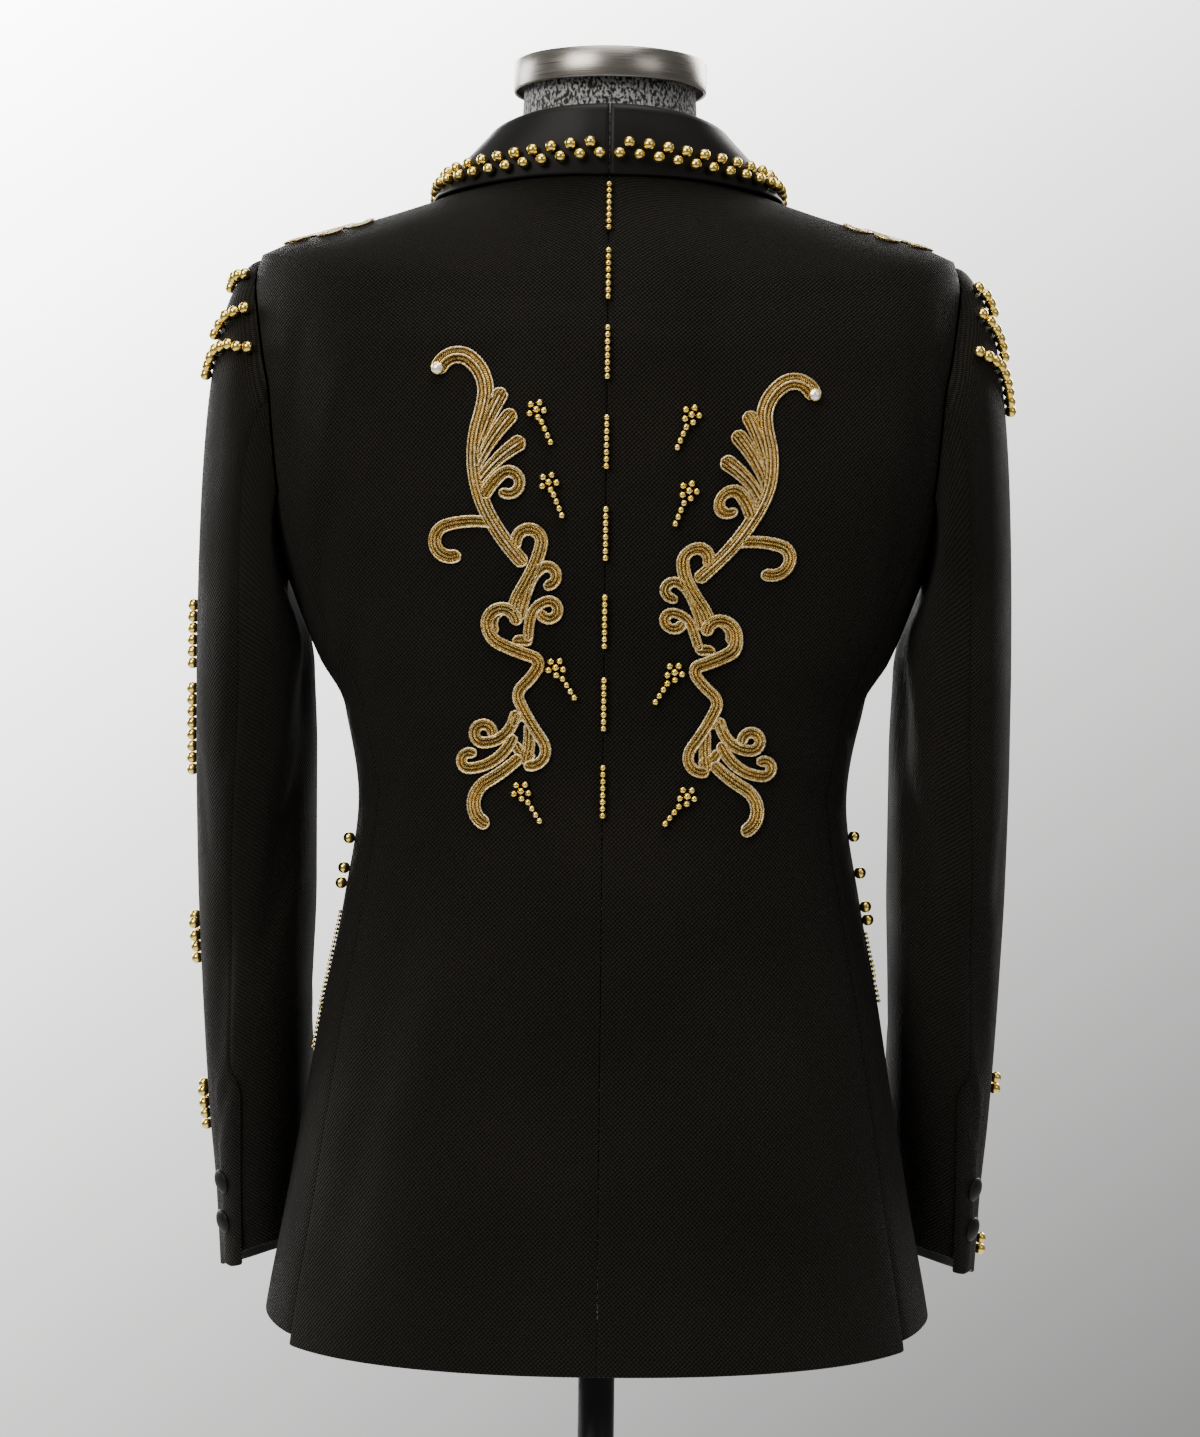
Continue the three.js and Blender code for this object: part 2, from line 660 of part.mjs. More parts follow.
for (const { name, side } of sides) {
  const plain = sleeveGrid(side);
  const normals = plain.map((line, r) => line.map((_, k) => tubeNormal(side, plain, r, k)));
  const outer = plain.map((line, r) =>
    line.map((point, k) => {
      const down = Math.max((sleeveTop - point.z) / (sleeveTop - cuffRow), 0);
      const degrees = THREE.MathUtils.radToDeg(lineAngle(k, down));
      return point.clone().addScaledVector(normals[r][k], -foldDepth(degrees, point.z));
    }),
  );
  sleeveSurfaces[name] = { outer, normals };
  const inner = outer.map((line, r) =>
    line.map((point, k) => point.clone().addScaledVector(normals[r][k], -cloth)),
  );
  const strip = (from, to) => {
    const ids = Array.from({ length: to - from + 1 }, (_, i) => (from + i) % loop.length);
    const cut = (grid) =>
      grid.map((line) => {
        const part = ids.map((k) => line[k].clone());
        const nudge = (i, j) => part[j].clone().sub(part[i]).setLength(seamGap / 2);
        const first = nudge(0, 1);
        const last = nudge(part.length - 1, part.length - 2);
        part[0].add(first);
        part[part.length - 1].add(last);
        return part;
      });
    return [cut(outer), cut(inner)];
  };
  const top = strip(sleeveSeams.front, sleeveSeams.back + loop.length);
  for (const grid of top) {
    const tip = grid[grid.length - 1][grid[0].length - 1];
    const before = grid[grid.length - 2][grid[0].length - 1];
    tip.add(tip.clone().sub(before).setLength(cuff.flap));
  }
  const under = strip(sleeveSeams.back, sleeveSeams.front);
  const beads = [...headBeads(name), ...outsideBeads(name)];
  addPiece("top_sleeve_" + name, withBeads(wallGeometry(...top), beads), wool);
  addPiece("under_sleeve_" + name, wallGeometry(...under), wool);
}

// The shawl collar: each station is a section from the neck seam or the front's edge, up over the
// fold and out to the collar's outer edge, which lies just off the panel below it.
const fallSteps = [0.25, 0.5, 0.75, 1];
const foldRadius = 2.6;
const neckCorner = frontEdgeAngle(neckSeam);

function collarBases() {
  const bases = collarStations.map((station) => ({
    angle: rad(station.angle),
    row: neckSeam,
    fold: station.fold,
    upright: 1,
    edge: { angle: rad(station.edgeAngle), row: station.edgeRow },
  }));
  bases.push({
    angle: neckCorner,
    row: neckSeam,
    fold: 16,
    upright: 0.85,
    edge: { angle: neckCorner + rad(1), row: 1410.5 },
  });
  const edgeRows = armholeSpan.filter((row) => row > breakHeight && row < neckSeam).reverse();
  for (const row of [...edgeRows, breakHeight + 6]) {
    const angle = frontEdgeAngle(row);
    const from = bodyPoint(1, angle, row);
    const width = readTable(lapelStations, "width", row);
    const slope = Math.atan2(rollLine.highX - rollLine.lowX, rollLine.highZ - rollLine.lowZ);
    const x = from.x + width * Math.cos(slope);
    const z = from.z - width * Math.sin(slope);
    bases.push({
      angle,
      row,
      fold: readTable(lapelStations, "fold", row),
      upright: THREE.MathUtils.smoothstep(row, 1340, 1440),
      from,
      to: { x, z },
      edge: placeOn("front", x, z),
    });
  }
  return bases;
}

function collarSection(side, base) {
  const normal = bodyNormal(side, base.angle, base.row);
  const seam = bodyPoint(side, base.angle, base.row);
  seam.addScaledVector(normal, overlapLift(side, base));
  const toEdge = bodyPoint(side, base.edge.angle, base.edge.row).sub(seam);
  const away = toEdge.clone().addScaledVector(normal, -toEdge.dot(normal)).normalize();
  const radial = vec(seam.x, seam.y, 0).normalize();
  const up = vec(0, 0, 1).lerp(normal, 1 - base.upright).normalize();
  const out = away.clone().lerp(radial, base.upright);
  out.addScaledVector(up, -out.dot(up)).normalize();
  const bottom = seam.clone();
  bottom.addScaledVector(normal, layGap * base.upright - 1.6 * (1 - base.upright));
  bottom.addScaledVector(away, -(layGap + 1.2) * (1 - base.upright));
  const visible = bottom.clone().addScaledVector(out, -cloth);
  const top = bottom.clone().addScaledVector(up, base.fold).addScaledVector(out, 1.2);
  const points = [
    visible,
    visible.clone().lerp(top, 0.5).addScaledVector(out, -1.6),
    top.clone().addScaledVector(up, -foldRadius).addScaledVector(out, -foldRadius),
    top,
    top.clone().addScaledVector(up, -foldRadius).addScaledVector(out, foldRadius),
  ];
  const start = points[4];
  const place = (u) => {
    if (base.to) {
      return placeOn("front", lerp(base.from.x, base.to.x, u), lerp(base.from.z, base.to.z, u));
    }
    return {
      angle: lerp(base.angle, base.edge.angle, u),
      row: lerp(base.row, base.edge.row, u),
    };
  };
  const lie = cloth + layGap + lerp(3.1, 0.65, base.upright);
  const end = bodyPoint(side, base.edge.angle, base.edge.row);
  const endNormal = bodyNormal(side, base.edge.angle, base.edge.row);
  end.addScaledVector(endNormal, lie + overlapLift(side, base.edge));
  for (const u of fallSteps) {
    const spot = place(u);
    const at = bodyPoint(side, spot.angle, spot.row);
    const off = bodyNormal(side, spot.angle, spot.row);
    const point = start.clone().lerp(end, u).addScaledVector(out, 2.2 * Math.sin(Math.PI * u));
    const height = point.clone().sub(at).dot(off);
    const least = lie + overlapLift(side, spot) + 1.2 * (1 - u);
    if (height < least) point.addScaledVector(off, least - height);
    points.push(point);
  }
  return points;
}

function gridNormal(grid, r, c, side) {
  const across = grid[r][Math.min(c + 1, grid[r].length - 1)].clone();
  across.sub(grid[r][Math.max(c - 1, 0)]);
  const along = grid[Math.min(r + 1, grid.length - 1)][c].clone().sub(grid[Math.max(r - 1, 0)][c]);
  return along.cross(across).multiplyScalar(side).normalize();
}

const collarRows = [
  { inset: 6.5, start: 5.5 },
  { inset: 13, start: 11 },
];
const beadPitch = 11.3;

// Beads in two staggered rows along the collar's outer edge, by their distance from it.
function collarBeads(grid, side) {
  const spots = [];
  for (const { inset, start } of collarRows) {
    const path = grid.map((line, r) => {
      let left = inset;
      let c = line.length - 1;
      while (c > 4) {
        const length = line[c].distanceTo(line[c - 1]);
        if (left <= length) break;
        left -= length;
        c -= 1;
      }
      if (c <= 5) return null;
      const point = line[c].clone().lerp(line[c - 1], left / line[c].distanceTo(line[c - 1]));
      return { point, normal: gridNormal(grid, r, c, side) };
    });
    let need = start;
    for (let i = 0; i < path.length - 1; i += 1) {
      const a = path[i];
      const b = path[i + 1];
      if (!a || !b) break;
      const length = a.point.distanceTo(b.point);
      while (need < length) {
        const t = need / length;
        const normal = a.normal.clone().lerp(b.normal, t).normalize();
        spots.push({ point: a.point.clone().lerp(b.point, t), normal });
        need += beadPitch;
      }
      need -= length;
    }
  }
  return spots;
}

for (const { name, side } of sides) {
  const outer = collarBases().map((base) => collarSection(side, base));
  for (const point of outer[0]) point.x = (side * seamGap) / 2;
  const inner = outer.map((line, r) =>
    line.map((point, c) => {
      const normal = gridNormal(outer, r, c, side);
      if (r === 0) normal.setX(0).normalize();
      return point.clone().addScaledVector(normal, -cloth);
    }),
  );
  addPiece("shawl_" + name, withBeads(wallGeometry(outer, inner), collarBeads(outer, side)), satin);
}

// The dress form: a torso and neck inside the cloth, a metal neck cap, a pole and a round base.
const form = {
  floorGap: 0.3,
  columns: 24,
  neckRadius: 53,
  neckTop: 1485,
  neckY: -7,
  capRadius: 58,
  capHeight: 13,
  poleRadius: 11,
  baseRadius: 185,
  baseHeight: 12,
  bottom: 764,
};

// How far the form's surface lies inside the cloth's outer surface, by height.
const formInset = [
  { at: 764, inset: 20 },
  { at: 900, inset: 15 },
  { at: 1055, inset: 9 },
  { at: 1185, inset: 16 },
  { at: 1262, inset: 17 },
  { at: 1337, inset: 11 },
  { at: 1368, inset: 4.5 },
  { at: 1378, inset: 3.2 },
  { at: 1408, inset: 3.2 },
  { at: 1418, inset: 3.9 },
  { at: 1427, inset: 5.5 },
];
const formRows = [form.bottom, 860, 960, 1055, 1130, 1190, 1262, 1320, 1355, ...armholeRows.slice(-2)];

function formRings() {
  const rings = [];
  for (const row of [...formRows, ...shoulderRows]) {
    const inset = readTable(formInset, "inset", row);
    rings.push(
      Array.from({ length: form.columns }, (_, i) => {
        const turn = (2 * Math.PI * i) / form.columns;
        const side = turn <= Math.PI ? 1 : -1;
        const angle = side > 0 ? turn : 2 * Math.PI - turn;
        const point = bodyPoint(side, angle, row);
        point.addScaledVector(bodyNormal(side, angle, row), -inset);
        return row === form.bottom ? point.setZ(row) : point;
      }),
    );
  }
  const neck = [
    { z: 1432, radius: form.neckRadius + 6 },
    { z: 1440, radius: form.neckRadius + 1 },
    { z: 1460, radius: form.neckRadius },
    { z: form.neckTop, radius: form.neckRadius },
  ];
  for (const { z, radius } of neck) {
    rings.push(
      Array.from({ length: form.columns }, (_, i) => {
        const turn = (2 * Math.PI * i) / form.columns;
        return vec(radius * Math.sin(turn), form.neckY + 0.92 * radius * Math.cos(turn), z);
      }),
    );
  }
  return rings;
}

function lathe(profile) {
  const points = profile.map(([radius, z]) => new THREE.Vector2(radius, z));
  return new THREE.LatheGeometry(points, form.columns).rotateX(Math.PI / 2);
}

const cover = finish(0x4a4c50, 0.95, 0);
const steel = finish(0xb9bcc0, 0.3, 1);
const blackMetal = finish(0x101012, 0.45, 0.6);
addPiece("form_torso", stackGeometry(formRings()), cover);

const cap = lathe([
  [0, 0],
  [form.capRadius - 1.5, 0],
  [form.capRadius, 1.5],
  [form.capRadius, form.capHeight - 2],
  [form.capRadius - 2, form.capHeight],
  [0, form.capHeight],
]);
cap.translate(0, form.neckY, form.neckTop + form.floorGap);
addPiece("form_neck_cap", geometryOf(solidOf(cap)), steel);

const poleFoot = form.baseHeight + form.floorGap;
const poleTop = form.bottom - form.floorGap;
const pole = lathe([
  [0, poleFoot],
  [form.poleRadius, poleFoot],
  [form.poleRadius, poleTop],
  [0, poleTop],
]);
addPiece("form_pole", geometryOf(solidOf(pole)), blackMetal);

const foot = lathe([
  [0, 0],
  [form.baseRadius, 0],
  [form.baseRadius, form.baseHeight - 3],
  [form.baseRadius - 3, form.baseHeight],
  [0, form.baseHeight],
]);
addPiece("form_base", geometryOf(solidOf(foot)), blackMetal);

// The scroll ornament of the back: each stroke starts at a distance out from the centre back and a
// height, heads in a direction (0 outwards, 90 up) and follows arcs, each a length and the angle it
// turns through. Its width runs from wide to thin.
const scrollStrokes = [
  {
    out: 45.5, up: 1191, heading: 46, wide: 7.5, thin: 9,
    arcs: [
      [30, 12], [62, 49], [12, -9], [25, -60], [25, -125],
    ],
  },
  { out: 75, up: 1250, heading: 104, wide: 4, thin: 9, arcs: [[44, 15]] },
  { out: 75, up: 1243, heading: 112, wide: 4, thin: 9, arcs: [[42, 21]] },
  { out: 74, up: 1236, heading: 123, wide: 4, thin: 9, arcs: [[38, 27]] },
  { out: 70, up: 1229, heading: 118, wide: 7, thin: 5, arcs: [[17, 20], [30, 270]] },
  { out: 61, up: 1214, heading: 14, wide: 5.5, thin: 7, arcs: [[30, -30], [32, -200]] },
  {
    out: 51, up: 1200, heading: 85, wide: 6, thin: 7.5,
    arcs: [
      [6, 20], [22, 175], [14, 15], [16, 5], [16, -32],
    ],
  },
  { out: 48, up: 1160, heading: 98, wide: 5.5, thin: 5.5, arcs: [[22, 14], [10, 30], [22, 235]] },
  { out: 43, up: 1148, heading: 84, wide: 5, thin: 5.5, arcs: [[14, 22], [13, 60], [25, 285]] },
  {
    out: 50, up: 1157, heading: 95, wide: 6.5, thin: 5.5,
    arcs: [
      [28, -190], [14, -60], [20, -8], [8, 103], [13, 18],
      [10, -73], [25, -12], [6, 30], [18, 120],
    ],
  },
  { out: 57, up: 1165, heading: -10, wide: 4, thin: 6, arcs: [[17, -120]] },
  { out: 52, up: 1148, heading: 176, wide: 5, thin: 6, arcs: [[11, 8]] },
  { out: 50, up: 1108, heading: -85, wide: 6, thin: 5.5, arcs: [[10, 25], [19, 60], [27, 295]] },
  { out: 51, up: 1094, heading: -70, wide: 6, thin: 5.5, arcs: [[16, 30], [18, 38], [18, 235]] },
  { out: 47, up: 1082, heading: -45, wide: 6, thin: 7.5, arcs: [[24, 15], [20, -75], [12, -62]] },
  { out: 43, up: 1101, heading: -100, wide: 5, thin: 7.5, arcs: [[24, 28]] },
  { out: 50, up: 1090, heading: -95, wide: 5, thin: 6, arcs: [[15, -100]] },
  { out: 51, up: 1099, heading: 80, wide: 4, thin: 5, arcs: [[14, 170]] },
];
const scrollLift = 1.2;
const scrollThick = 2.6;
const stepLength = 20;
const stepTurn = 75;

// The right ornament sits a little further out and lower than the left one, by height.
const rightScroll = [
  { at: 1030, out: 14.5, drop: 3 },
  { at: 1110, out: 16, drop: 3 },
  { at: 1135, out: 14.5, drop: 4 },
  { at: 1160, out: 8, drop: 5 },
  { at: 1190, out: 6.5, drop: 8 },
  { at: 1215, out: 10, drop: 10 },
  { at: 1250, out: 18, drop: 9.5 },
  { at: 1310, out: 22, drop: 13 },
];

// The small scroll on each shoulder, in plan: out from the neck and behind the shoulder ridge.
const shoulderStrokes = [
  { out: 150, up: 22, heading: 8, wide: 7, thin: 6, arcs: [[44, -30]] },
  { out: 152, up: 22, heading: 70, wide: 6, thin: 4, arcs: [[14, 60], [16, 190]] },
  { out: 168, up: 24, heading: 60, wide: 6, thin: 4, arcs: [[12, 50], [14, 150]] },
  { out: 182, up: 18, heading: 40, wide: 6, thin: 4, arcs: [[12, 50], [12, 140]] },
];

function strokePath({ out, up, heading, arcs, wide, thin }) {
  const total = arcs.reduce((sum, [length]) => sum + length, 0);
  const points = [];
  let at = { out, up, heading: rad(heading) };
  let run = 0;
  const mark = () => points.push({ ...at, width: lerp(wide, thin, run / total) });
  mark();
  for (const [length, turn] of arcs) {
    const steps = Math.max(1, Math.round(length / stepLength + Math.abs(turn) / stepTurn));
    const bend = rad(turn) / steps;
    for (let i = 0; i < steps; i += 1) {
      const middle = at.heading + bend / 2;
      const step = ((length / steps) * Math.sin(bend / 2)) / (bend / 2);
      at = {
        out: at.out + Math.cos(middle) * step,
        up: at.up + Math.sin(middle) * step,
        heading: at.heading + bend,
      };
      run += length / steps;
      mark();
    }
  }
  return points;
}

// A ridge along each stroke, lying on the surface that spotAt gives for out and up, all joined.
function ornament(side, strokes, spotAt) {
  let solid = null;
  for (const stroke of strokes) {
    const rings = strokePath(stroke).map(({ out, up, heading, width }) => {
      const across = { out: -Math.sin(heading) * (width / 2), up: Math.cos(heading) * (width / 2) };
      const corner = (share, lift) => {
        const spot = spotAt(out + share * across.out, up + share * across.up);
        const point = bodyPoint(side, spot.angle, spot.row);
        return point.addScaledVector(bodyNormal(side, spot.angle, spot.row), lift);
      };
      return [corner(-1, scrollLift), corner(1, scrollLift), corner(0, scrollLift + scrollThick)];
    });
    const ridge = solidOf(stackGeometry(rings));
    solid = solid ? solid.add(ridge) : ridge;
  }
  return geometryOf(solid);
}

// The place on the shoulder that lies at x and y seen from above, behind the shoulder ridge.
function placeFromAbove(x, behind) {
  const inside = (row) => {
    const ring = ringAt(row);
    const y = Math.max(behind, 0.5);
    return (x / ring.half) ** ring.round + (y / ring.back) ** ring.round < 1;
  };
  const row = bisect(seamTop + 60, neckSeam, inside);
  return { angle: Math.asin(Math.min(x / ringAt(row).half, 1) ** (ringAt(row).round / 2)), row };
}

for (const { name, side } of sides) {
  const moved = (column, up) => (side < 0 ? readTable(rightScroll, column, up) : 0);
  const onBack = (out, up) => placeOn("back", out + moved("out", up), up - moved("drop", up));
  addPiece("scroll_back_" + name, ornament(side, scrollStrokes, onBack), thread);
  addPiece("scroll_shoulder_" + name, ornament(side, shoulderStrokes, placeFromAbove), thread);
}

// Covered buttons: two on each cuff beside its vent, one closing the front.
const button = { cuffRadius: 7.5, frontRadius: 10, thick: 4, sides: 12, lift: 0.4 };

function buttonShape(radius) {
  const profile = [
    [0, 0],
    [radius - 1.2, 0],
    [radius, 1.2],
    [radius * 0.7, button.thick - 0.6],
    [0, button.thick],
  ];
  const points = profile.map(([r, z]) => new THREE.Vector2(r, z));
  return new THREE.LatheGeometry(points, button.sides).rotateX(Math.PI / 2);
}

function addButton(name, radius, { point, normal }, lift) {
  const turn = new THREE.Quaternion().setFromUnitVectors(vec(0, 0, 1), normal);
  const geometry = geometryOf(solidOf(buttonShape(radius)));
  geometry.applyQuaternion(turn);
  const seat = point.clone().addScaledVector(normal, lift);
  geometry.translate(seat.x, seat.y, seat.z);
  addPiece(name, geometry, satin);
}

const cuffButtons = { line: 4.1, upperStep: 13.88, lowerStep: 14.46 };
for (const { name } of sides) {
  const surface = sleeveSurfaces[name];
  for (const [place, step] of [["upper", cuffButtons.upperStep], ["lower", cuffButtons.lowerStep]]) {
    const spot = sleeveSpot(surface, step, cuffButtons.line);
    addButton(`cuff_button_${name}_${place}`, button.cuffRadius, spot, button.lift + 0.6);
  }
}
const frontSpot = placeOn("front", 0, 1062);
const frontSeat = {
  point: bodyPoint(1, frontSpot.angle, frontSpot.row),
  normal: bodyNormal(1, frontSpot.angle, frontSpot.row),
};
addButton("front_button", button.frontRadius, frontSeat, overlapLift(1, frontSpot) + button.lift + 0.3);

export default group;
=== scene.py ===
import math
import bpy
import numpy as np
from mathutils import Matrix, Vector


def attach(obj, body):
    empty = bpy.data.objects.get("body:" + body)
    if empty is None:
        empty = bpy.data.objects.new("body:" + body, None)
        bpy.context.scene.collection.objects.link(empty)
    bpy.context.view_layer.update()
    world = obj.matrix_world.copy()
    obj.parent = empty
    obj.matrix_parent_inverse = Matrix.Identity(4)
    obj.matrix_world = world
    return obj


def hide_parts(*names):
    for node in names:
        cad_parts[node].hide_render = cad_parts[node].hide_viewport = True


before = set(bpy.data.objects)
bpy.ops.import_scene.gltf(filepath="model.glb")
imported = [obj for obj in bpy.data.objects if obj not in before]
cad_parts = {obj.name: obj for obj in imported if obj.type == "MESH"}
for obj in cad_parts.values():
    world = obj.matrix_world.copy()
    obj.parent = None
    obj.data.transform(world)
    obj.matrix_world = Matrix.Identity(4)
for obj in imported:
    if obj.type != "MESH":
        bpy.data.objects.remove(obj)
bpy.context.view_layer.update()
print("frame loaded:", len(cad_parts), "nodes")

# Sizes below are millimetres in the frame's axes: the floor is z = 0, the jacket's front faces -Y
# and the wearer's left is +X. Meshes are made in metres.
mm = 0.001
body = "root"

view = {"distance": 2000, "height": 1104, "aside": 2, "lens": 83.5, "sensor": 36, "roll": 0.62}
cameraData = bpy.data.cameras.new("camera")
cameraData.lens = view["lens"]
cameraData.sensor_width = view["sensor"]
camera = bpy.data.objects.new("camera", cameraData)
bpy.context.scene.collection.objects.link(camera)
facingBack = Matrix(((-1, 0, 0), (0, 0, 1), (0, 1, 0)))
turned = facingBack @ Matrix.Rotation(math.radians(view["roll"]), 3, "Z")
place = (view["aside"] * mm, view["distance"] * mm, view["height"] * mm)
camera.matrix_world = Matrix.Translation(place) @ turned.to_4x4()
bpy.context.scene.camera = camera


# Node trees

def put(tree, kind, inputs=None, **settings):
    node = tree.nodes.new(kind)
    for key, value in settings.items():
        setattr(node, key, value)
    for key, value in (inputs or {}).items():
        if isinstance(value, bpy.types.NodeSocket):
            tree.links.new(value, node.inputs[key])
        else:
            node.inputs[key].default_value = value
    return node


def maths(tree, operation, a, b=0.0, c=0.0, clamp=False):
    return put(tree, "ShaderNodeMath", {0: a, 1: b, 2: c}, operation=operation, use_clamp=clamp).outputs[0]


def newGroup(name, kind, inputs, outputs):
    tree = bpy.data.node_groups.new(name, kind)
    for label, socket, value in inputs:
        made = tree.interface.new_socket(label, in_out="INPUT", socket_type=socket)
        if value is not None:
            made.default_value = value
    for label, socket in outputs:
        tree.interface.new_socket(label, in_out="OUTPUT", socket_type=socket)
    return tree, put(tree, "NodeGroupInput"), put(tree, "NodeGroupOutput")


def useGroup(tree, group, inputs):
    return put(tree, "ShaderNodeGroup", inputs, node_tree=group)


def makeMottle():
    # slow uneven change over a surface, between two values
    tree, given, out = newGroup(
        "mottle", "ShaderNodeTree",
        [("Vector", "NodeSocketVector", None), ("Scale", "NodeSocketFloat", 40.0),
         ("Low", "NodeSocketFloat", 0.0), ("High", "NodeSocketFloat", 1.0)],
        [("Value", "NodeSocketFloat")])
    noise = put(tree, "ShaderNodeTexNoise", {"Vector": given.outputs["Vector"],
                                             "Scale": given.outputs["Scale"], "Detail": 4.0})
    ranged = put(tree, "ShaderNodeMapRange", {
        "Value": noise.outputs["Fac"], "From Min": 0.3, "From Max": 0.7,
        "To Min": given.outputs["Low"], "To Max": given.outputs["High"]})
    tree.links.new(ranged.outputs[0], out.inputs["Value"])
    return tree


def makeBirdseye():
    # staggered pits between diagonal ribs, on a cloth's own flat measure in millimetres; the pit mask also
    # paints shade into the pits
    tree, given, out = newGroup(
        "birdseye", "ShaderNodeTree",
        [("Vector", "NodeSocketVector", None), ("Across", "NodeSocketFloat", 2.6),
         ("Along", "NodeSocketFloat", 2.6), ("Uneven", "NodeSocketFloat", 0.5)],
        [("Shaded Pits", "NodeSocketFloat"), ("Height", "NodeSocketFloat")])
    drift = put(tree, "ShaderNodeTexNoise", {"Vector": given.outputs["Vector"], "Scale": 0.35,
                                             "Detail": 2.0})
    pushed = put(tree, "ShaderNodeVectorMath", {0: drift.outputs["Color"], 1: (0.5, 0.5, 0.5)},
                 operation="SUBTRACT")
    scaled = put(tree, "ShaderNodeVectorMath", {0: pushed.outputs[0], "Scale": given.outputs["Uneven"]},
                 operation="SCALE")
    moved = put(tree, "ShaderNodeVectorMath", {0: given.outputs["Vector"], 1: scaled.outputs[0]},
                operation="ADD")
    parts = put(tree, "ShaderNodeSeparateXYZ", {0: moved.outputs[0]})
    turns = []
    for axis, size in (("X", "Across"), ("Y", "Along")):
        share = maths(tree, "DIVIDE", parts.outputs[axis], given.outputs[size])
        turns.append(maths(tree, "COSINE", maths(tree, "MULTIPLY", share, math.tau)))
    product = maths(tree, "MULTIPLY", turns[0], turns[1])
    # painted shade: this mask darkens the colour in the weave's pits
    shadedPits = maths(tree, "POWER", maths(tree, "MULTIPLY_ADD", product, 0.5, 0.5), 1.3)
    fine = put(tree, "ShaderNodeTexNoise", {"Vector": given.outputs["Vector"], "Scale": 2.2, "Detail": 3.0})
    height = maths(tree, "ADD", maths(tree, "MULTIPLY", product, -0.5),
                   maths(tree, "MULTIPLY", fine.outputs["Fac"], 0.35))
    tree.links.new(shadedPits, out.inputs["Shaded Pits"])
    tree.links.new(height, out.inputs["Height"])
    return tree


def makePurl():
    # small coils of metal thread along a row: ribs across the row that lean a little
    tree, given, out = newGroup(
        "purl", "ShaderNodeTree",
        [("Along", "NodeSocketFloat", 0.0), ("Across", "NodeSocketFloat", 0.0),
         ("Pitch", "NodeSocketFloat", 0.9), ("Lean", "NodeSocketFloat", 0.6)],
        [("Rib", "NodeSocketFloat")])
    leaning = maths(tree, "MULTIPLY_ADD", given.outputs["Across"], given.outputs["Lean"],
                    given.outputs["Along"])
    share = maths(tree, "DIVIDE", leaning, given.outputs["Pitch"])
    wave = maths(tree, "SINE", maths(tree, "MULTIPLY", share, math.tau))
    tree.links.new(maths(tree, "MULTIPLY_ADD", wave, 0.5, 0.5), out.inputs["Rib"])
    return tree


mottle = makeMottle()
birdseye = makeBirdseye()
purl = makePurl()


def newMaterial(name, color=(0.8, 0.8, 0.8), roughness=0.5, metallic=0.0, **sockets):
    material = bpy.data.materials.new(name)
    material.use_nodes = True
    shader = material.node_tree.nodes["Principled BSDF"]
    shader.inputs["Base Color"].default_value = (*color, 1)
    shader.inputs["Roughness"].default_value = roughness
    shader.inputs["Metallic"].default_value = metallic
    for key, value in sockets.items():
        shader.inputs[key.replace("_", " ")].default_value = value
    return material, material.node_tree, shader


def colours(tree, factor, first, second):
    node = put(tree, "ShaderNodeMix", {0: factor}, data_type="RGBA")
    for socket, color in ((node.inputs[6], first), (node.inputs[7], second)):
        if isinstance(color, bpy.types.NodeSocket):
            tree.links.new(color, socket)
        else:
            socket.default_value = (*color, 1)
    return node.outputs[2]


def bump(tree, shader, height, strength, distance):
    node = put(tree, "ShaderNodeBump", {"Height": height, "Strength": strength, "Distance": distance})
    tree.links.new(node.outputs[0], shader.inputs["Normal"])


def noiseOf(tree, vector, scale, detail):
    noise = put(tree, "ShaderNodeTexNoise", {"Vector": vector, "Scale": scale, "Detail": detail})
    return noise.outputs["Fac"]


def stretched(tree, vector, scale):
    return put(tree, "ShaderNodeMapping", {"Vector": vector, "Scale": scale}).outputs[0]


def mottled(tree, vector, scale, low=0.0, high=1.0):
    return useGroup(tree, mottle, {"Vector": vector, "Scale": scale, "Low": low, "High": high}).outputs[0]


def clothVector(tree):
    # the piece's own flat measure, in millimetres
    uv = put(tree, "ShaderNodeUVMap", uv_map="cloth").outputs[0]
    return put(tree, "ShaderNodeVectorMath", {0: uv, "Scale": 1000.0}, operation="SCALE").outputs[0]


def objectVector(tree):
    return put(tree, "ShaderNodeTexCoord").outputs["Object"]


# ground and shine vary at random; the darkest colour is painted shade in the weave's pits
wool = {
    "ground": (0.0074, 0.0066, 0.0051), "pitShade": (0.0001, 0.0001, 0.0001), "shine": (0.0145, 0.0126, 0.0096),
    "across": 2.6, "along": 2.6,
}


def makeWool():
    material, tree, shader = newMaterial("birdseye wool", roughness=0.6, Sheen_Weight=0.015,
                                         Sheen_Roughness=0.5, Specular_IOR_Level=0.075,
                                         Specular_Tint=(1.0, 0.93, 0.82, 1))
    vector = clothVector(tree)
    weave = useGroup(tree, birdseye, {"Vector": vector, "Across": wool["across"], "Along": wool["along"]})
    patches = mottled(tree, objectVector(tree), 9.0, 0.1, 0.9)
    ground = colours(tree, patches, wool["ground"], wool["shine"])
    # painted shade: the colour goes near black in the weave's pits
    base = colours(tree, weave.outputs["Shaded Pits"], ground, wool["pitShade"])
    tree.links.new(base, shader.inputs["Base Color"])
    rough = mottled(tree, objectVector(tree), 14.0, 0.5, 0.68)
    duller = maths(tree, "MULTIPLY_ADD", weave.outputs["Shaded Pits"], 0.25, rough, clamp=True)
    tree.links.new(duller, shader.inputs["Roughness"])
    bump(tree, shader, weave.outputs["Height"], 1.0, 0.0011)
    return material


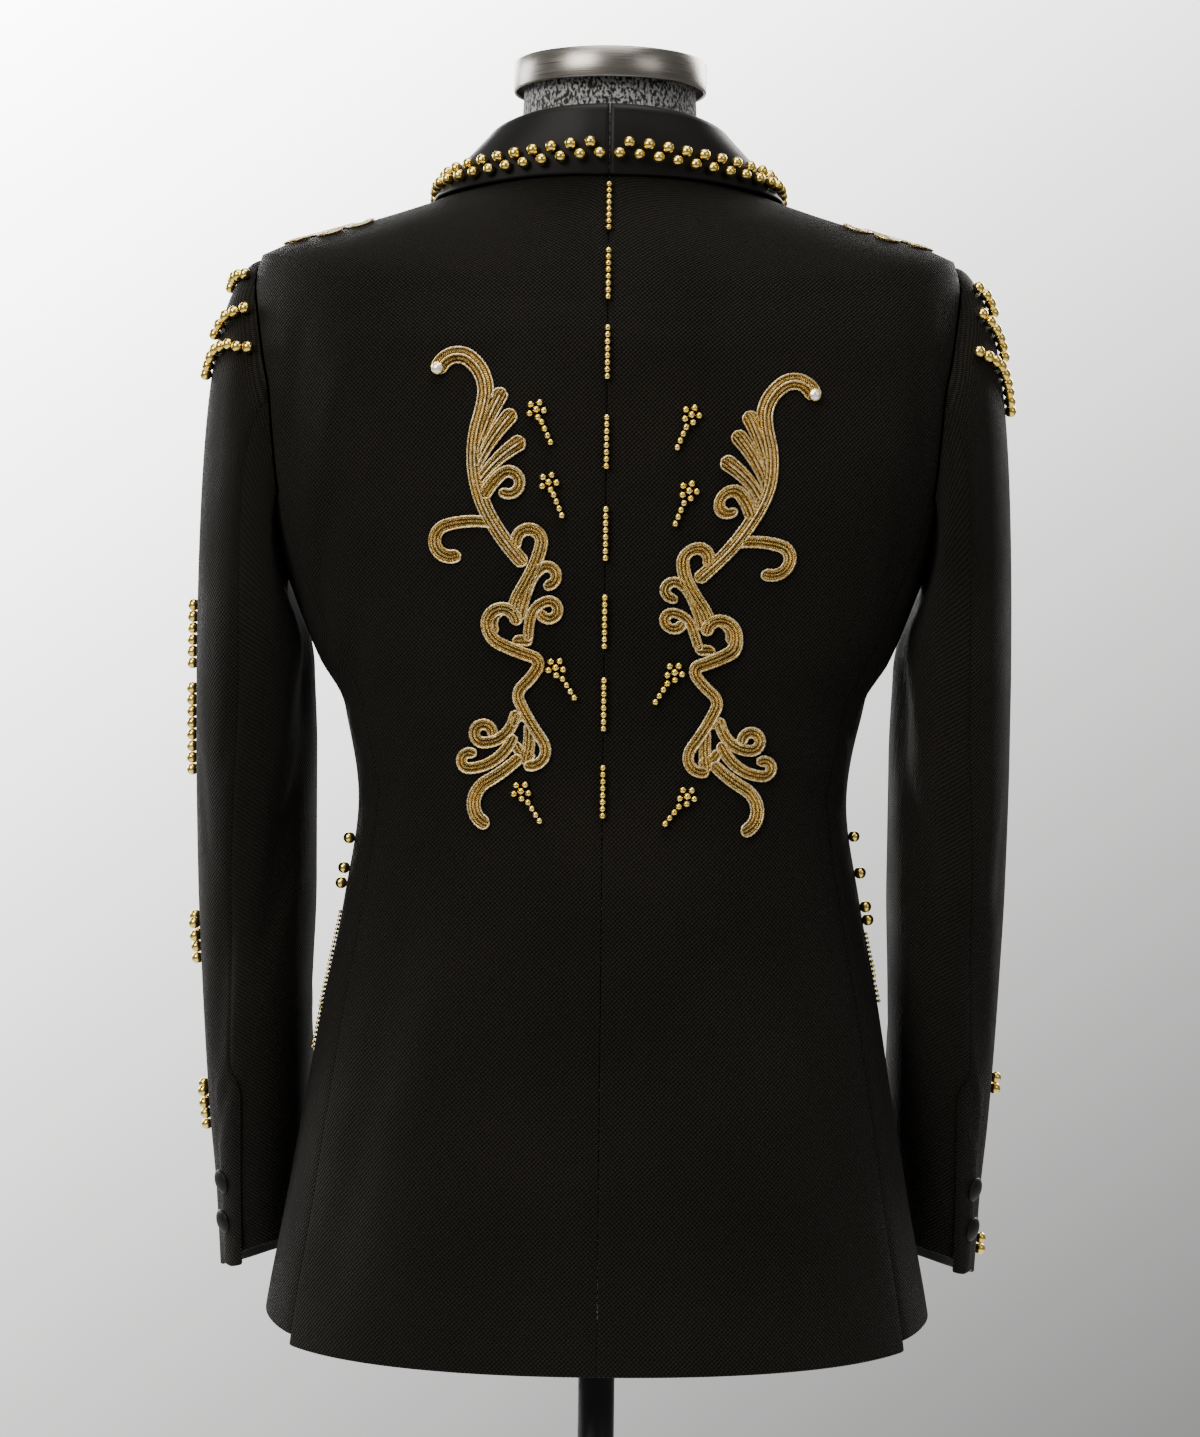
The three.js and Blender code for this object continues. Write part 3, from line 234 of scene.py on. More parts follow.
def makeSatin(name, color, roughness, threadDepth, shine):
    material, tree, shader = newMaterial(name, color, roughness, Sheen_Weight=0.03,
                                         Specular_IOR_Level=shine)
    vector = objectVector(tree)
    rough = mottled(tree, vector, 18.0, roughness - 0.06, roughness + 0.08)
    tree.links.new(rough, shader.inputs["Roughness"])
    pale = tuple(1.8 * value for value in color)
    base = colours(tree, mottled(tree, vector, 11.0), color, pale)
    tree.links.new(base, shader.inputs["Base Color"])
    threads = noiseOf(tree, stretched(tree, vector, (900.0, 900.0, 120.0)), 1.0, 2.0)
    bump(tree, shader, threads, threadDepth, 0.0003)
    return material


def makeBeadGold():
    material, tree, shader = newMaterial("gold bead", (0.83, 0.56, 0.15), 0.17, 1.0)
    vector = objectVector(tree)
    tree.links.new(mottled(tree, vector, 260.0, 0.12, 0.3), shader.inputs["Roughness"])
    base = colours(tree, mottled(tree, vector, 120.0), (0.95, 0.74, 0.22), (0.78, 0.55, 0.11))
    tree.links.new(base, shader.inputs["Base Color"])
    bump(tree, shader, noiseOf(tree, vector, 500.0, 2.0), 0.12, 0.0004)
    return material


def makeThread():
    # metal thread couched in rows: bright and dark rows across the band, coils along each; the dark between
    # rows and between coils is painted shade
    material, tree, shader = newMaterial("gold thread", (0.6, 0.4, 0.12), 0.4, 0.96)
    parts = put(tree, "ShaderNodeSeparateXYZ", {0: clothVector(tree)})
    ribs = useGroup(tree, purl, {"Along": parts.outputs["X"], "Across": parts.outputs["Y"],
                                 "Pitch": 1.1, "Lean": 0.5})
    rows = maths(tree, "COSINE", maths(tree, "MULTIPLY", parts.outputs["Y"], math.tau / 2.1))
    rowMask = maths(tree, "MULTIPLY_ADD", rows, 0.5, 0.5)
    glint = mottled(tree, objectVector(tree), 700.0)
    tone = mottled(tree, objectVector(tree), 60.0)
    # painted shade: the dark brown colour between the rows of thread and between coils
    grooveShade = colours(tree, tone, (0.03, 0.012, 0.002), (0.22, 0.09, 0.01))
    light = colours(tree, glint, (0.6, 0.3, 0.03), (1.0, 0.86, 0.32))
    unshadedShare = maths(tree, "MULTIPLY", rowMask, maths(tree, "MULTIPLY_ADD", ribs.outputs[0], 0.6, 0.4))
    tree.links.new(colours(tree, unshadedShare, grooveShade, light), shader.inputs["Base Color"])
    tree.links.new(maths(tree, "MULTIPLY_ADD", glint, 0.22, 0.2), shader.inputs["Roughness"])
    height = maths(tree, "MULTIPLY_ADD", ribs.outputs[0], 0.8, glint)
    bump(tree, shader, height, 1.0, 0.0008)
    return material


def makePaleCord():
    material, tree, shader = newMaterial("pale cord", (0.85, 0.74, 0.48), 0.34, 0.8)
    vector = objectVector(tree)
    glint = mottled(tree, vector, 620.0)
    light = colours(tree, mottled(tree, vector, 45.0), (1.0, 0.92, 0.64), (0.92, 0.68, 0.27))
    tree.links.new(colours(tree, glint, (0.3, 0.17, 0.04), light), shader.inputs["Base Color"])
    tree.links.new(maths(tree, "MULTIPLY_ADD", glint, 0.2, 0.24), shader.inputs["Roughness"])
    bump(tree, shader, glint, 0.5, 0.0003)
    return material


def makeKnit():
    # grey marled jersey: dark and pale flecks that run with the stitches
    material, tree, shader = newMaterial("marled jersey", roughness=0.92, Sheen_Weight=0.2)
    vector = objectVector(tree)
    flecks = noiseOf(tree, stretched(tree, vector, (620.0, 620.0, 430.0)), 1.0, 3.0)
    sharp = put(tree, "ShaderNodeMapRange", {"Value": flecks, "From Min": 0.44, "From Max": 0.58})
    marl = maths(tree, "MULTIPLY", sharp.outputs[0], mottled(tree, vector, 70.0, 0.8, 1.0))
    tree.links.new(colours(tree, marl, (0.008, 0.008, 0.009), (0.5, 0.49, 0.48)),
                   shader.inputs["Base Color"])
    columns = put(tree, "ShaderNodeTexWave", {"Vector": vector, "Scale": 420.0, "Distortion": 1.5,
                                              "Detail": 2.0, "Detail Scale": 3.0}, bands_direction="Z")
    bump(tree, shader, maths(tree, "ADD", columns.outputs["Fac"], marl), 0.6, 0.0006)
    return material


def makeSteel():
    material, tree, shader = newMaterial("brushed steel", (0.5, 0.49, 0.46), 0.3, 1.0)
    lines = noiseOf(tree, stretched(tree, objectVector(tree), (40.0, 40.0, 2600.0)), 1.0, 3.0)
    tree.links.new(maths(tree, "MULTIPLY_ADD", lines, 0.3, 0.16), shader.inputs["Roughness"])
    tree.links.new(colours(tree, lines, (0.17, 0.155, 0.135), (0.36, 0.335, 0.3)),
                   shader.inputs["Base Color"])
    bump(tree, shader, lines, 0.18, 0.0002)
    return material


def makeBlackMetal():
    material, tree, shader = newMaterial("black metal", (0.012, 0.012, 0.013), 0.4, 0.6)
    vector = objectVector(tree)
    tree.links.new(mottled(tree, vector, 30.0, 0.3, 0.5), shader.inputs["Roughness"])
    bump(tree, shader, noiseOf(tree, vector, 900.0, 1.0), 0.15, 0.0003)
    return material


def makeCrystal():
    material, tree, shader = newMaterial("crystal", (0.96, 0.95, 0.92), 0.05, 0.35, IOR=2.0,
                                         Coat_Weight=1.0)
    tint = mottled(tree, objectVector(tree), 300.0)
    tree.links.new(colours(tree, tint, (0.98, 0.97, 0.95), (0.75, 0.72, 0.66)),
                   shader.inputs["Base Color"])
    return material


woolCloth = makeWool()
satinCloth = makeSatin("black satin", (0.0035, 0.0032, 0.003), roughness=0.46, threadDepth=0.2, shine=0.13)
liningCloth = makeSatin("black lining", (0.003, 0.003, 0.003), roughness=0.5, threadDepth=0.15, shine=0.1)
beadGold = makeBeadGold()
goldThread = makeThread()
paleCord = makePaleCord()
jersey = makeKnit()
steel = makeSteel()
blackMetal = makeBlackMetal()
crystal = makeCrystal()
print("materials made")


# Surfaces of the jacket, from the same sizes as its solids

bodyRings = {
    "at": [730, 758, 815, 875, 935, 995, 1055, 1115, 1138, 1185, 1220, 1262, 1320, 1350, 1378, 1396, 1413,
           1427],
    "half": [201, 197, 187, 177, 167, 155, 146, 157, 170, 189, 201, 210, 214, 213, 208, 155, 103, 72],
    "back": [137, 134, 127, 120, 112, 102, 94, 97, 99, 103, 105, 107, 108, 105.5, 102, 90, 72, 59],
    "front": [151, 148, 141, 135, 129, 122, 117, 119, 121, 124, 125, 124, 111, 105, 95, 79, 64, 47],
    "middle": [0, 0, 0, 0, 0, 0, 0, 0, 0, 0, 0, -1, -4, -6, -8, -7, -6, -5],
    "round": [2.25, 2.25, 2.25, 2.3, 2.3, 2.35, 2.4, 2.4, 2.4, 2.4, 2.4, 2.45, 2.5, 2.5, 2.5, 2.4, 2.25,
              2.1],
    "backDrop": [0, 0, 0, 0, 0, 0, 0, 0, 0, 0, 0, 0, -4, -16, -28, -22, -11, -2],
    "frontDrop": [0, 0, 0, 0, 0, 0, 0, 0, 0, 0, 0, 0, -14, -30, -44, -34, -27, -25],
}
armhole = {
    "at": [1235, 1262, 1290, 1315, 1337, 1355, 1368, 1378],
    "back": [47, 50, 50, 44, 35, 23, 9, -8],
    "front": [-50, -52, -51, -46, -38, -29, -20, -8],
}
seamAngles = {"at": [730, 900, 1055, 1235], "back": [62, 62, 63, 67.9], "front": [108, 108, 109, 109.5]}
frontEdge = {
    "at": [730, 758, 795, 845, 895, 945, 1045, 1064, 1082],
    "x": [62, 40, 14, -6, -15, -18, -18, -10, 9],
}
jacket = {
    "hem": 758, "seamTop": 1235, "shoulderTip": 1378, "neckSeam": 1427, "breakHeight": 1082,
    "underarmDip": 50, "underarmFrom": 1045, "underarmRound": 1.3, "rollLowX": 9,
    "rollHighX": 70, "rollHighZ": 1425, "cloth": 1.7, "seamGap": 0.3, "layGap": 0.45,
    "armholeMiddle": 1282, "widestRow": 1320, "lowestRow": 700,
}
# How far the hem's rows sink or rise, fading out upwards
hemShape = {"top": 895, "back": 22, "backSide": 4, "side": 12, "front": 14, "frontFrom": 0.75}
# The left front lies over the right one: its lift, and where it starts round and fades upwards
frontLap = {"lift": 2.6, "from": 158, "to": 170, "low": 1078, "high": 1112}


def hermite(t, step, first, last, firstSlope, lastSlope):
    # the cubic between two values with given slopes
    return ((2 * t**3 - 3 * t**2 + 1) * first + (t**3 - 2 * t**2 + t) * step * firstSlope
            + (-2 * t**3 + 3 * t**2) * last + (t**3 - t**2) * step * lastSlope)


def readTable(table, column, at):
    xs, ys = np.array(table["at"], float), np.array(table[column], float)
    at = np.clip(np.asarray(at, float), xs[0], xs[-1])
    slopes = np.diff(ys) / np.diff(xs)
    before, after = slopes[:-1], slopes[1:]
    total = np.where(before * after > 0, before + after, 1)
    inner = np.where(before * after > 0, 2 * before * after / total, 0)
    tangents = np.concatenate([slopes[:1], inner, slopes[-1:]])
    i = np.clip(np.searchsorted(xs, at, side="right") - 1, 0, len(xs) - 2)
    step = xs[i + 1] - xs[i]
    return hermite((at - xs[i]) / step, step, ys[i], ys[i + 1], tangents[i], tangents[i + 1])


fineRows = np.arange(jacket["lowestRow"], jacket["neckSeam"] + 0.25, 0.5)
fineRings = {column: readTable(bodyRings, column, fineRows) for column in bodyRings if column != "at"}


def ringAt(row):
    return {column: np.interp(row, fineRows, values) for column, values in fineRings.items()}


def powered(value, power):
    return np.sign(value) * np.abs(value) ** power


def bodyPoint(side, angle, row):
    # angle runs from the centre back over the side to the centre front
    ring = ringAt(row)
    s, c = np.sin(angle), np.cos(angle)
    x = ring["half"] * powered(s, 2 / ring["round"])
    y = ring["middle"] + np.where(c >= 0, ring["back"], ring["front"]) * powered(c, 2 / ring["round"])
    z = row + np.where(c >= 0, ring["backDrop"], ring["frontDrop"]) * c * c
    return np.stack([side * x, y, z], -1)


def unit(vectors):
    return vectors / np.maximum(np.linalg.norm(vectors, axis=-1, keepdims=True), 1e-9)


def bodyNormal(side, angle, row):
    turn, rise = 0.02, 1.5
    around = bodyPoint(side, angle + turn, row) - bodyPoint(side, angle - turn, row)
    high = np.minimum(row + rise, jacket["neckSeam"])
    up = bodyPoint(side, angle, high) - bodyPoint(side, angle, high - 2 * rise)
    return unit(side * np.cross(up, around))


def angleAtY(row, y):
    ring = ringAt(row)
    off = y - ring["middle"]
    share = np.minimum(np.abs(off) / np.where(off >= 0, ring["back"], ring["front"]), 1)
    angle = np.arccos(share ** (ring["round"] / 2))
    return np.where(off >= 0, angle, math.pi - angle)


def angleAtX(row, x):
    ring = ringAt(row)
    share = np.minimum(np.abs(x) / ring["half"], 1)
    return math.pi - np.sign(x) * np.arcsin(share ** (ring["round"] / 2))


def bisect(low, high, test):
    a, b = low, high
    for _ in range(34):
        middle = (a + b) / 2
        keep = test(middle)
        a, b = np.where(keep, middle, a), np.where(keep, b, middle)
    return (a + b) / 2


def placeOn(face, x, z):
    x, z = np.broadcast_arrays(np.asarray(x, float), np.asarray(z, float))

    def turnedAt(row):
        angle = angleAtX(row, x)
        return angle if face == "front" else math.pi - angle

    top = np.full(x.shape, float(jacket["neckSeam"]))
    widest = np.full(x.shape, float(jacket["widestRow"]))
    lowest = np.full(x.shape, float(jacket["lowestRow"]))
    highest = bisect(widest, top, lambda row: ringAt(row)["half"] > np.abs(x))
    row = bisect(lowest, highest, lambda at: bodyPoint(1, turnedAt(at), at)[..., 2] < z)
    return turnedAt(row), row


def smoothstep(value, low, high):
    t = np.clip((value - low) / (high - low), 0, 1)
    return t * t * (3 - 2 * t)


def findFrontEdge():
    slope = (jacket["rollHighX"] - jacket["rollLowX"]) / (jacket["rollHighZ"] - jacket["breakHeight"])

    def inside(angle):
        point = bodyPoint(1, angle, fineRows)
        return point[..., 0] > jacket["rollLowX"] + (point[..., 2] - jacket["breakHeight"]) * slope

    ends = np.full(fineRows.shape, math.pi / 2), np.full(fineRows.shape, math.pi * 1.1)
    rolled = bisect(*ends, inside)
    cut = angleAtX(fineRows, readTable(frontEdge, "x", fineRows))
    return np.where(fineRows <= jacket["breakHeight"], cut, rolled)


fineFrontEdge = findFrontEdge()


def frontEdgeAngle(row):
    return np.interp(row, fineRows, fineFrontEdge)


def backSeamAngle(row):
    return np.radians(readTable(seamAngles, "back", row))


def frontSeamAngle(row):
    return np.radians(readTable(seamAngles, "front", row))


def sleeveEdge(row, face, seamAngle):
    # a panel's outer edge: the seam, then the armhole and at last the shoulder seam
    hole = angleAtY(row, readTable(armhole, face, row))
    above = np.where(row < jacket["shoulderTip"], hole, math.pi / 2)
    return np.where(row <= jacket["seamTop"], seamAngle(row), above)


def backEnd(row):
    return sleeveEdge(row, "back", backSeamAngle)


def frontStart(row):
    return sleeveEdge(row, "front", frontSeamAngle)


def hemShift(row):
    return 1 - np.minimum((row - jacket["hem"]) / (hemShape["top"] - jacket["hem"]), 1)


def overlapLift(side, angle, row):
    across = smoothstep(angle, math.radians(frontLap["from"]), math.radians(frontLap["to"]))
    return (side > 0) * frontLap["lift"] * across * (1 - smoothstep(row, frontLap["low"], frontLap["high"]))


# Soft creases of the body by side (0 both), degrees round, height, length, lean from upright,
# depth (a ridge is negative) and half width. A degree is so many millimetres round the body, and
# all depths grow by one share.
creaseScale = {"perDegree": 2.6, "depth": 1.3}
bodyCreases = [
    (1, 58, 1188, 120, 34, 1.9, 9), (1, 52, 1150, 150, 42, 1.5, 12), (1, 66, 1128, 90, 62, 1.7, 8),
    (-1, 60, 1196, 105, 30, 1.6, 9), (-1, 55, 1158, 165, 46, 1.7, 13), (-1, 64, 1110, 80, 66, 1.4, 8),
    (1, 30, 1086, 110, 74, 1.1, 11), (-1, 34, 1068, 120, 80, 1.2, 10), (1, 44, 1036, 90, 84, 1.3, 9),
    (-1, 48, 1020, 70, 78, 1.0, 9), (1, 20, 930, 230, 3, 1.2, 20), (-1, 26, 912, 240, -4, 1.4, 22),
    (1, 46, 888, 210, 6, 1.8, 16), (-1, 47, 870, 230, 7, 1.6, 17), (1, 12, 1316, 70, 60, 0.7, 14),
    (-1, 14, 1330, 80, 64, 0.8, 13), (1, 55, 1300, 90, 12, 1.6, 9), (-1, 56, 1290, 100, 16, 1.4, 9),
    (1, 48, 1262, 110, 22, -1.2, 10), (-1, 50, 1246, 90, 20, -1.1, 10), (0, 63, 1060, 60, 86, 1.5, 7),
    (1, 84, 900, 220, -4, 1.6, 15), (-1, 86, 880, 250, 5, 1.7, 14), (1, 96, 1150, 110, -34, 1.5, 10),
    (-1, 92, 1140, 95, -40, 1.7, 9), (1, 120, 1170, 120, -38, 1.7, 11), (-1, 122, 1158, 130, -42, 1.5, 12),
    (1, 134, 1075, 100, -70, 1.8, 9), (-1, 138, 1066, 90, -74, 1.6, 9), (1, 150, 1050, 70, -82, 1.4, 8),
    (-1, 148, 1094, 80, -62, 1.5, 9), (1, 140, 930, 210, -6, 1.8, 16), (-1, 136, 910, 230, -9, 1.7, 17),
    (1, 120, 880, 190, -3, 1.5, 15), (-1, 124, 860, 200, -5, 1.4, 15), (1, 118, 1300, 80, -14, 1.4, 9),
    (-1, 116, 1292, 90, -18, 1.5, 9),
]


def bodyRelief(side, angle, row):
    degrees = np.degrees(angle)
    depth = np.zeros(np.broadcast(degrees, row).shape)
    for creaseSide, centre, height, length, lean, deep, wide in bodyCreases:
        if creaseSide not in (0, side):
            continue
        out, up = (degrees - centre) * creaseScale["perDegree"], row - height
        tilt = math.radians(lean)
        along = up * math.cos(tilt) - out * math.sin(tilt)
        across = out * math.cos(tilt) + up * math.sin(tilt)
        depth += deep * np.exp(-((across / wide) ** 2) - (2 * along / length) ** 4)
    return creaseScale["depth"] * depth


def clothPoint(side, angle, row, lift=0.0):
    normal = bodyNormal(side, angle, row)
    off = lift + overlapLift(side, angle, row) - bodyRelief(side, angle, row)
    return bodyPoint(side, angle, row) + normal * np.asarray(off)[..., None], normal


# Meshes

def quads(rows, cols, start=0):
    r, c = np.meshgrid(np.arange(rows - 1), np.arange(cols - 1), indexing="ij")
    a = start + r * cols + c
    return np.stack([a, a + 1, a + cols + 1, a + cols], -1).reshape(-1, 4)


def volumeOf(points, faces):
    p = points[faces]
    return np.einsum("ij,ij->i", p[:, 0], np.cross(p[:, 1], p[:, 2]) + np.cross(p[:, 2], p[:, 3])).sum()


def newPiece(name, points, faces, materials, indices=None, uv=None, smooth=True):
    # points in millimetres; uv is each point's flat measure in metres
    mesh = bpy.data.meshes.new(name)
    mesh.from_pydata((np.asarray(points, float) * mm).tolist(), [], [list(map(int, f)) for f in faces])
    for material in materials:
        mesh.materials.append(material)
    if indices is not None:
        mesh.polygons.foreach_set("material_index", np.asarray(indices, np.int32))
    if uv is not None:
        layer = mesh.uv_layers.new(name="cloth")
        corner = np.empty(len(mesh.loops), np.int32)
        mesh.loops.foreach_get("vertex_index", corner)
        layer.data.foreach_set("uv", np.asarray(uv, np.float32)[corner].ravel())
    if smooth:
        mesh.shade_smooth()
    mesh.validate()
    piece = bpy.data.objects.new(name, mesh)
    bpy.context.scene.collection.objects.link(piece)
    return piece


def flatMeasure(grid, centre):
    # distances along the rows, counted from a chosen column, and up the first column, in metres
    across = np.linalg.norm(np.diff(grid, axis=1), axis=-1).cumsum(1)
    across = np.concatenate([np.zeros((len(grid), 1)), across], 1)
    across -= across[:, centre:centre + 1]
    up = np.linalg.norm(np.diff(grid, axis=0), axis=-1)
    up = np.concatenate([np.zeros((1, grid.shape[1])), up.cumsum(0)], 0)
    return np.stack([across, up], -1) * mm


def wallPiece(name, outer, inner, bulge, materials, centre=0):
    # a closed shell with a rim of its own on all four sides; bulge rounds the free edges
    rows, cols = outer.shape[:2]
    sides = {
        "low": (outer[0], inner[0], outer[0] - outer[1]),
        "high": (outer[-1], inner[-1], outer[-1] - outer[-2]),
        "start": (outer[:, 0], inner[:, 0], outer[:, 0] - outer[:, 1]),
        "end": (outer[:, -1], inner[:, -1], outer[:, -1] - outer[:, -2]),
    }
    points = [outer.reshape(-1, 3), inner.reshape(-1, 3)]
    size = rows * cols
    index = np.arange(size).reshape(rows, cols)
    edges = {"low": index[0], "high": index[-1], "start": index[:, 0], "end": index[:, -1]}
    rim = np.full(size, -1)
    total = 2 * size
    for key, (a, b, out) in sides.items():
        middle = (a + b) / 2 + unit(out) * bulge.get(key, 0)
        fresh = rim[edges[key]] < 0
        rim[edges[key][fresh]] = total + np.arange(fresh.sum())
        points.append(middle[fresh])
        total += int(fresh.sum())
    faces = [quads(rows, cols), quads(rows, cols, size)[:, ::-1]]
    for key, flip in (("low", True), ("high", False), ("start", False), ("end", True)):
        e = edges[key]
        a, m, b = e, rim[e], e + size
        for one, two in ((a, m), (m, b)):
            strip = np.stack([one[:-1], one[1:], two[1:], two[:-1]], -1)
            faces.append(strip[:, ::-1] if flip else strip)
    points, faces = np.concatenate(points), np.concatenate(faces)
    if volumeOf(points, faces) < 0:
        faces = faces[:, ::-1]
    uv = flatMeasure(outer, centre).reshape(-1, 2)
    rimUv = np.zeros((len(points) - 2 * size, 2))
    seen = rim >= 0
    rimUv[rim[seen] - 2 * size] = uv[seen]
    uv = np.concatenate([uv, uv, rimUv])
    inside = np.zeros(len(faces), int)
    inside[(rows - 1) * (cols - 1):2 * (rows - 1) * (cols - 1)] = 1
    return newPiece(name, points, faces, materials, inside, uv)


def clustered(count, tight=0.9):
    # shares from 0 to 1 that crowd towards both ends
    t = np.linspace(0, 1, count)
    return (1 - tight) * t + tight * (0.5 - 0.5 * np.cos(math.pi * t))


def rowsBetween(low, high, step, fineEnd=2.5):
    inner = np.linspace(low + 3 * fineEnd, high - fineEnd, int((high - low) / step))
    return np.concatenate([[low, low + 0.4 * fineEnd, low + fineEnd, low + 2 * fineEnd], inner, [high]])


def seamDip(share, width, reach=2.6, deep=0.7):
    # a pressed seam sinks at both sides of a panel
    near = np.minimum(share, 1 - share) * width
    return deep * np.exp(-((near / reach) ** 2))


def panelGrid(side, rows, columns, start, end, rowAt, seams):
    share = clustered(columns)[None, :]
    row = rows[:, None]
    angle = start(rows)[:, None] * (1 - share) + end(rows)[:, None] * share
    placed = rowAt(row, share)
    step = np.linalg.norm(
        bodyPoint(side, angle + 0.01, placed) - bodyPoint(side, angle - 0.01, placed), axis=-1) / 0.02
    pull = jacket["seamGap"] / 2 / step
    angle[:, 0] += pull[:, 0]
    angle[:, -1] -= pull[:, -1]
    width = (step * np.abs(end(rows) - start(rows))[:, None]).mean()
    near = np.stack([share + (0 if seams[0] else 1), (1 - share) + (0 if seams[1] else 1)]).min(0)
    dip = seamDip(np.broadcast_to(near, angle.shape), width)
    outer, normal = clothPoint(side, angle, placed, -dip)
    return outer, outer - normal * jacket["cloth"]


def backRow(row, share):
    return row - (hemShape["back"] - hemShape["backSide"] * share**2) * hemShift(row)


def sideRow(row, share):
    dip = jacket["underarmDip"] * np.sin(math.pi * share) ** jacket["underarmRound"]
    reach = np.maximum((row - jacket["underarmFrom"]) / (jacket["seamTop"] - jacket["underarmFrom"]), 0)
    return row - hemShape["side"] * (1 - share) * hemShift(row) - dip * reach


def frontRow(row, share):
    inside = np.maximum(share - hemShape["frontFrom"], 0) / (1 - hemShape["frontFrom"])
    return row + hemShape["front"] * inside * hemShift(row)


sides = (("left", 1), ("right", -1))
pieces = {}
rowStep = 6.5
longRows = rowsBetween(jacket["hem"], jacket["neckSeam"], rowStep)
sideRows = rowsBetween(jacket["hem"], jacket["seamTop"], rowStep)
bodyPanels = {
    # rows, columns, the angles of both edges, the row's height, which edges are seams, free edges
    "back": (longRows, 44, lambda row: 0 * row, backEnd, backRow, (True, True), {"low": 0.8}),
    "side": (sideRows, 26, backSeamAngle, frontSeamAngle, sideRow, (True, True), {"low": 0.8}),
    "front": (longRows, 42, frontStart, frontEdgeAngle, frontRow, (True, False), {"low": 0.8, "end": 0.8}),
}

for name, side in sides:
    for key, (*sizes, bulge) in bodyPanels.items():
        pieces[f"{key}_{name}"] = wallPiece(f"{key}_panel_{name}", *panelGrid(side, *sizes), bulge,
                                            [woolCloth, liningCloth])
print("body panels made")


# Sleeves

sleeveRings = {
    "at": [770, 815, 860, 905, 950, 1007, 1085, 1130],
    "outer": [235.5, 237, 239.5, 241, 242, 243.5, 244.5, 244.5],
    "inner": [182.5, 180.5, 177, 176, 175, 173, 173, 174.5],
    "middle": [-91, -76, -60, -45, -31, -20, -13, -10],
    "depth": [54, 56, 58, 60, 62, 64, 66, 67],
}
sleeve = {
    "top": 1130, "cuff": 770, "outDrop": 10, "backRise": 9, "flap": 7, "round": 2.15,
    "backSeam": 5, "frontSeam": 13, "turns": 20, "backLow": 58, "backHigh": 84, "frontAngle": 226,
    "capRows": 44, "rowStep": 5.5, "ventTop": 893, "ventLap": 8.5, "ventLift": 2.1,
    "tiltTop": 815, "perLine": 11.5, "width": 150, "ventFade": 14, "capCrowd": 1.15,
    "armholeRows": [1378, 1368, 1355, 1337, 1315, 1290, 1262, 1235],
    # shares of the top sleeve's width where the vent's lap, lift and hanging corner begin
    "lapFrom": 0.9, "liftFrom": 0.84, "liftBy": 0.95, "flapFrom": 0.86,
}
# How the cap leaves the armhole and comes in over the sleeve's first ring
sleeveCap = {"out": 2, "outTop": 26, "back": 8, "fall": 0.28, "drop": 3, "rise": 0.55}
# Soft creases of a sleeve by side (0 both), degrees round, top and bottom height, depth, half width
# and how far they run round from bottom to top.
sleeveCreases = [
    (0, 150, 1165, 1010, 5, 16, 45), (0, 118, 1080, 940, 4, 15, 38), (0, 62, 1010, 880, 3, 15, 30),
    (0, 255, 1120, 960, 4, 16, -35), (1, 172, 1190, 1085, 2.6, 9, 30), (-1, 168, 1180, 1070, 2.8, 10, 34),
    (1, 128, 1040, 960, 1.8, 7, 52), (-1, 122, 1020, 930, 2.0, 8, 46), (1, 80, 1150, 1060, 1.6, 9, 24),
    (-1, 76, 1130, 1035, 1.5, 10, 22), (1, 40, 1095, 1010, 1.3, 9, -20), (-1, 36, 1070, 985, 1.2, 9, -16),
    (1, 196, 1010, 900, 1.8, 9, 40), (-1, 200, 1000, 890, 1.6, 9, 44), (1, 285, 1060, 950, 1.6, 9, -26),
    (-1, 290, 1040, 940, 1.7, 10, -24), (1, 58, 905, 835, 1.3, 8, 40), (-1, 66, 915, 840, 1.4, 8, 36),
    (1, 210, 930, 850, 1.5, 9, -36), (-1, 216, 940, 860, 1.4, 9, -32), (0, 140, 1115, 1030, -1.8, 9, 40),
]


def loopPlace(k):
    # the armhole's edge from the shoulder tip down the back, under the arm and up the front
    rows = sleeve["armholeRows"]
    backSeam, frontSeam = len(rows) - 1, sleeve["frontSeam"]
    back = np.interp(k, np.arange(len(rows)), rows)
    front = np.interp(k, np.arange(len(rows)) + frontSeam, rows[::-1])
    share = np.clip((k - backSeam) / (frontSeam - backSeam), 0, 1)
    top = np.full(np.shape(k), float(jacket["seamTop"]))
    under = backSeamAngle(top) * (1 - share) + frontSeamAngle(top) * share
    angle = np.where(k <= backSeam, backEnd(back), np.where(k < frontSeam, under, frontStart(front)))
    row = np.where(k <= backSeam, back, np.where(k < frontSeam, sideRow(top, share), front))
    return angle, row


def loopPoint(side, k):
    angle, row = loopPlace(np.mod(k, sleeve["turns"]))
    point, normal = bodyPoint(side, angle, row), bodyNormal(side, angle, row)
    inward = point * (0, -1, -1) + (0, 0, jacket["armholeMiddle"])
    inward = unit(inward - normal * (inward * normal).sum(-1, keepdims=True))
    return point + normal * jacket["layGap"] + inward * (jacket["seamGap"] + 0.05)


def lineAngle(k, down):
    k = np.mod(k, sleeve["turns"])
    back = sleeve["backHigh"] + (sleeve["backLow"] - sleeve["backHigh"]) * down
    first = back * k / sleeve["backSeam"]
    second = back + (sleeve["frontAngle"] - back) * (k - sleeve["backSeam"]) / (
        sleeve["frontSeam"] - sleeve["backSeam"])
    third = sleeve["frontAngle"] + (360 - sleeve["frontAngle"]) * (k - sleeve["frontSeam"]) / (
        sleeve["turns"] - sleeve["frontSeam"])
    return np.where(k <= sleeve["backSeam"], first, np.where(k <= sleeve["frontSeam"], second, third))


